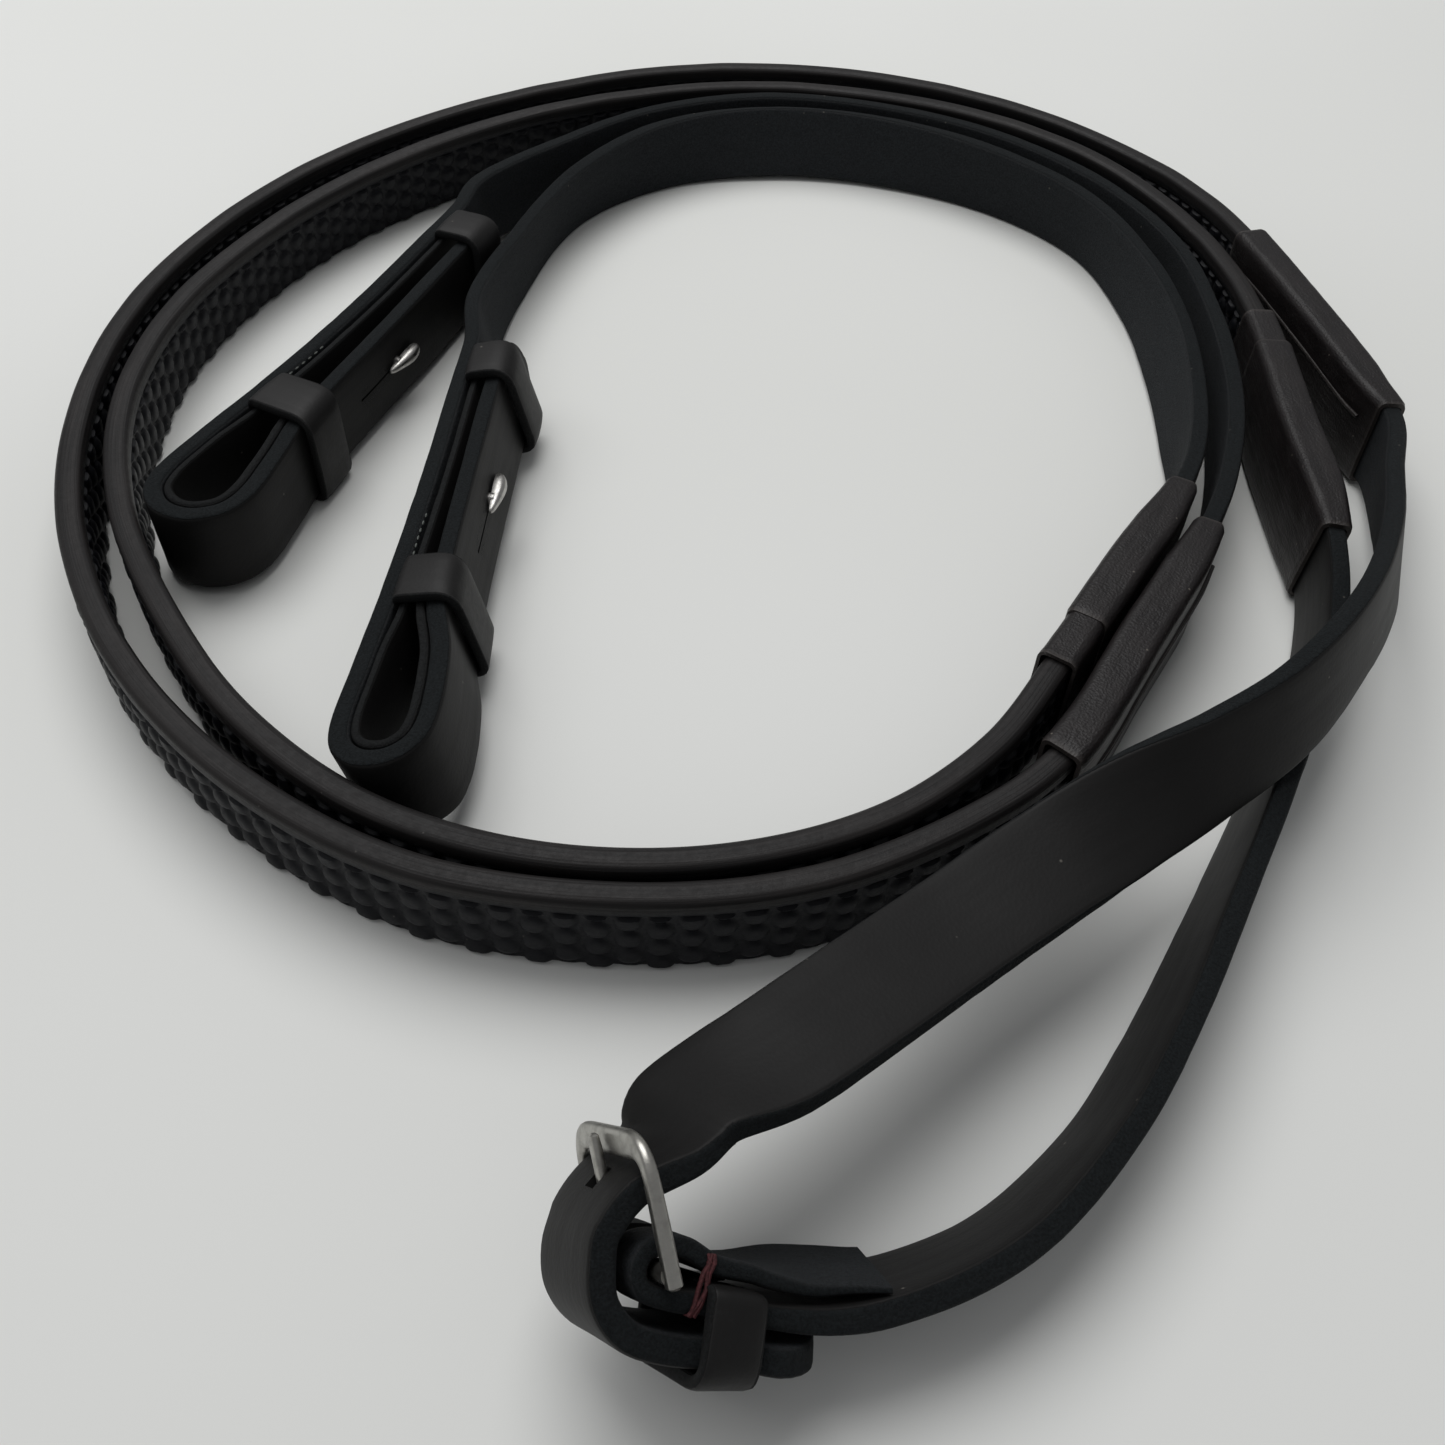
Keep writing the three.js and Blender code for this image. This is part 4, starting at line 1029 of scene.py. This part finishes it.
def build_wraps(key):
    """The outer rein's wraps have sewn ridges, and the inner rein's end in a cuff over the rubber."""
    route = routes[key]
    (front_from, front_to), (hand_from, hand_to) = REINS[key]["front_wrap"], REINS[key]["hand_wrap"]
    cuff = 0 if key == "a" else CUFF_LENGTH
    front_end, hand_start = front_to - cuff, hand_from + cuff
    sleeve(f"front_wrap_{key}_leather", route, front_from, front_end, WRAP_THICK, WRAP_HEIGHT,
           [f"front_wrap_{key}"], "start", seed=21)
    sleeve(f"hand_wrap_{key}_leather", route, hand_start, hand_to, WRAP_THICK, WRAP_HEIGHT,
           [f"hand_wrap_{key}"], "end", seed=31)
    if key == "a":
        for name, height in (("front_wrap_a_seam", 2.6), ("front_wrap_a_seam_lower", 0.9)):
            seam_ridge(name, route, front_from + 4, front_end - 2, 1, height, 0.42)
        seam_ridge("hand_wrap_a_seam", route, hand_start + 3, hand_to - 5, -1, 3.4, 0.3)
        return
    for name, start in (("front_cuff_b", front_end - CUFF_OVERLAP), ("hand_cuff_b", hand_from)):
        sleeve(name, route, start, start + CUFF_LENGTH + CUFF_OVERLAP, WRAP_THICK - 0.9, WRAP_HEIGHT - 0.8,
               wall=CUFF_WALL, seed=41, rim_proud=0.3)


# ---- Centre buckle ----
POINT_ROUNDING = 6.5
TONGUE_HOLE = {"centre": 8, "raise": 0.4, "length": 14.4, "radius": 1.3, "depth": 2.4}
FOLD_SLOT = {"centre": -1.1, "length": 9.4, "radius": 1.5, "depth": 12}
TONGUE_PAST = 0.9
PRONG_RINGS = 12
RING_THICK = 1.0
KEEPER_SEAT = (13, -2.4)
KEEPER_SEARCH = (90, 20)
CENTRE_KEEPER_WALL = 1.55
RED_RADIUS = 0.27
RED_STRANDS = ((0, 0.3), (0.4, -0.25), (0.7, 0.1))


def build_hand_straps():
    """Each strap from its wrap to the buckle: a has the tongue's hole, and b the slot in its fold."""
    hole, slot = TONGUE_HOLE, FOLD_SLOT
    hole_centre = frame_point(hole["centre"], TONGUE_LEVEL + hole["raise"], 0)
    slot_centre = buckle_point(slot["centre"], 0)
    ends = {"a": (1, POINT_ROUNDING, (hole_centre, FRAME_DIR, hole, BAR_AXIS)),
            "b": (-1, 0.0, (slot_centre, CHAPE_DIR, slot, CHAPE_SIDE))}
    for key, (grain_side, point_end, (centre, along, size, through)) in ends.items():
        wrap = REINS[key]["hand_wrap"]
        piece = strap(f"hand_strap_{key}_leather", routes[key], (wrap[0] + wrap[1]) / 2 + GAP,
                      routes[key].length, [f"hand_strap_{key}"], grain_side=grain_side, point_end=point_end)
        carve(piece, capsule_cutter(centre, along, size["length"], size["radius"], through, size["depth"]))


def superellipse(points, power=0.72):
    angles = np.linspace(0, 2 * math.pi, points, endpoint=False)
    return [np.sign(v) * np.abs(v) ** power for v in (np.cos(angles), np.sin(angles))]


def shrunk_ring(ring, share, shift):
    """A smaller copy of an end ring, moved along the frame, which rounds that end off."""
    middle = ring.mean(0)
    return middle + (ring - middle) * share + FRAME_DIR * shift


def build_buckle_frame():
    """A half frame of soft-edged rails, closed by the round bar that the strap folds round."""
    half = FRAME_HALF_WIDTH
    near, far = -BAR_RADIUS, FRAME_LENGTH + FAR_RAIL_WIDTH / 2
    inner_half, inner_far = half - RAIL_WIDTH, far - FAR_RAIL_WIDTH
    sides = []
    for end, side, radius in ((far, half, FRAME_CORNER), (inner_far, inner_half, FRAME_INNER_CORNER)):
        corners = np.array([(near, -side), (end, -side), (end, side), (near, side)])
        sides.append(rounded_path(corners, (radius, radius), 17))
    across, thick = superellipse(16)
    rings = []
    for out, within in zip(*sides):
        middle, reach = (out + within) / 2, (out - within) / 2
        swell = 1 + 0.06 * smoothstep(middle[0], 4, 12)
        flat = middle + across[:, None] * reach * swell
        depth = FRAME_THICK / 2 * thick * (1 - 0.12 * smoothstep(middle[0], 4, 12))
        rings.append(np.array([frame_point(x, y, z) for (x, z), y in zip(flat, depth)]))
    rings = [shrunk_ring(rings[0], 0.55, -0.35), *rings, shrunk_ring(rings[-1], 0.55, -0.35)]
    angles = np.linspace(0, 2 * math.pi, 24, endpoint=False)
    bar = np.stack([[frame_point(BAR_RADIUS * math.cos(a), BAR_RADIUS * math.sin(a), z) for a in angles]
                    for z in np.linspace(-inner_half - 0.6, inner_half + 0.6, 9)])
    points, faces = joined_parts([np.stack(rings), bar])
    make_piece("buckle_frame_metal", points, faces, BUCKLE_METAL, ["buckle_frame"], "buckle")


def build_tongue():
    """A prong with a ring closed round the bar."""
    ring = (BAR_RADIUS + GAP + TONGUE_LEVEL + TONGUE_THICK / 2) / 2
    tip = FRAME_LENGTH + TONGUE_PAST
    path = [(x, TONGUE_LEVEL) for x in np.linspace(tip, 0.4, PRONG_RINGS)]
    path += [(ring * math.cos(a), ring * math.sin(a)) for a in np.radians(np.arange(90, 391, 15))]
    path = np.array(path)
    across, thick = superellipse(14)
    rings = []
    for i, ((x, y), (dx, dy)) in enumerate(zip(path, unit(np.gradient(path, axis=0)))):
        on_prong = i < PRONG_RINGS
        size = 0.82 + 0.18 * smoothstep(tip - x, 0, 1.2) if on_prong else 1
        half_thick = (TONGUE_THICK if on_prong else RING_THICK) / 2 * size * thick
        half_width = TONGUE_WIDTH / 2 * 1.05 * size * across
        rings.append(np.array([frame_point(x - dy * t, y + dx * t, w)
                               for w, t in zip(half_width, half_thick)]))
    rings = np.stack([shrunk_ring(rings[0], 0.4, 0.3), *rings])
    make_piece("buckle_tongue_metal", rings, ring_faces(*rings.shape[:2], False), BUCKLE_METAL,
               ["buckle_tongue"], "tongue")


def build_centre_keeper():
    a, b = routes["a"], routes["b"]
    start = b.nearest(buckle_point(*KEEPER_SEAT), *[b.length - back for back in KEEPER_SEARCH])
    keeper("centre_keeper_leather", b, start, CENTRE_KEEPER_LENGTH, a, (a.length - POINT_LENGTH, a.length), 1,
           ["centre_keeper"], wall=CENTRE_KEEPER_WALL, round_near=True)


def build_red_stitches():
    """Red thread over the top edges of the fold's two layers, in strands that wander a little."""
    strands = []
    for shift, wander in RED_STRANDS:
        over = [(3.2 + shift, -3.9, 7.4), (3.3 + shift + wander, -3.9, 8.1), (3.9 + shift, -2.7, 8.25),
                (4.4 + shift - wander, -1.2, 8.2), (4.4 + shift, 0.4, 8.2), (4.7 + shift + wander, 1.5, 8.2),
                (4.8 + shift, 2.2, 7.9), (4.8 + shift, 2.3, 7.3)]
        strands.append([buckle_point(*p) for p in over])
    points, faces = tube_faces(strands, RED_RADIUS)
    make_piece("chape_red_stitches", points, faces, RED_THREAD)


for rein in ("a", "b"):
    build_billet(rein)
    grip(rein)
    build_wraps(rein)
build_hand_straps()
build_buckle_frame()
build_tongue()
build_centre_keeper()
build_red_stitches()


# ---- Floor, light and camera ----
FLOOR_REACH = 3.0
CAMERA_PLACE = np.array([0, 0, 166.55])
CAMERA_PITCH = math.radians(48.883)
CAMERA_ROLL = math.radians(2.426)
LENS = 33.285
SENSOR = 36


def build_floor():
    s = Shader("pale_floor")
    position = s.node("ShaderNodeNewGeometry").outputs["Position"]
    cloud = s.noise(position, 3.0, 2.0)
    colour = s.mix(s.spread(cloud, 0.3, 0.7), (0.74, 0.745, 0.72), (0.78, 0.785, 0.765))
    material = s.finish(colour, 0.7, Specular_IOR_Level=0.2)
    reach = FLOOR_REACH
    mesh = bpy.data.meshes.new("floor")
    corners = [(-reach, -reach, 0), (reach, -reach, 0), (reach, reach, 0), (-reach, reach, 0)]
    mesh.from_pydata(corners, [], [(0, 1, 2, 3)])
    mesh.materials.append(material)
    floor = bpy.data.objects.new("floor", mesh)
    bpy.context.scene.collection.objects.link(floor)


def area_light(name, place, size, power):
    """A round light that faces the middle of the coil."""
    light = bpy.data.lights.new(name, "AREA")
    light.shape = "DISK"
    light.size = size
    light.energy = power
    made = bpy.data.objects.new(name, light)
    made.location = place
    made.rotation_euler = (-Vector(place)).to_track_quat("-Z", "Y").to_euler()
    bpy.context.scene.collection.objects.link(made)


def build_light():
    area_light("window", (-0.15, 0.55, 1.15), 1.1, 10.5)
    area_light("fill", (-0.7, 0.1, 1.2), 1.0, 3)
    world = bpy.data.worlds.new("room")
    world.use_nodes = True
    background = world.node_tree.nodes["Background"]
    background.inputs["Color"].default_value = (0.97, 0.98, 1.0, 1)
    background.inputs["Strength"].default_value = 0.27
    bpy.context.scene.world = world
    bpy.context.scene.view_settings.view_transform = "Standard"


def build_camera():
    """Pitched down from level, and rolled a little about its own line of sight."""
    c, s = math.cos(CAMERA_ROLL), math.sin(CAMERA_ROLL)
    right, up = Vector((1, 0, 0)), Vector((0, math.sin(CAMERA_PITCH), math.cos(CAMERA_PITCH)))
    turn = Matrix((right * c + up * s, up * c - right * s, right.cross(up))).transposed()
    lens = bpy.data.cameras.new("camera")
    lens.sensor_width = SENSOR
    lens.lens = LENS
    lens.clip_start = 0.005
    camera = bpy.data.objects.new("camera", lens)
    camera.matrix_world = Matrix.Translation((CAMERA_PLACE - LAYOUT_CENTRE) * MM) @ turn.to_4x4()
    bpy.context.scene.collection.objects.link(camera)
    bpy.context.scene.camera = camera


build_floor()
build_light()
build_camera()
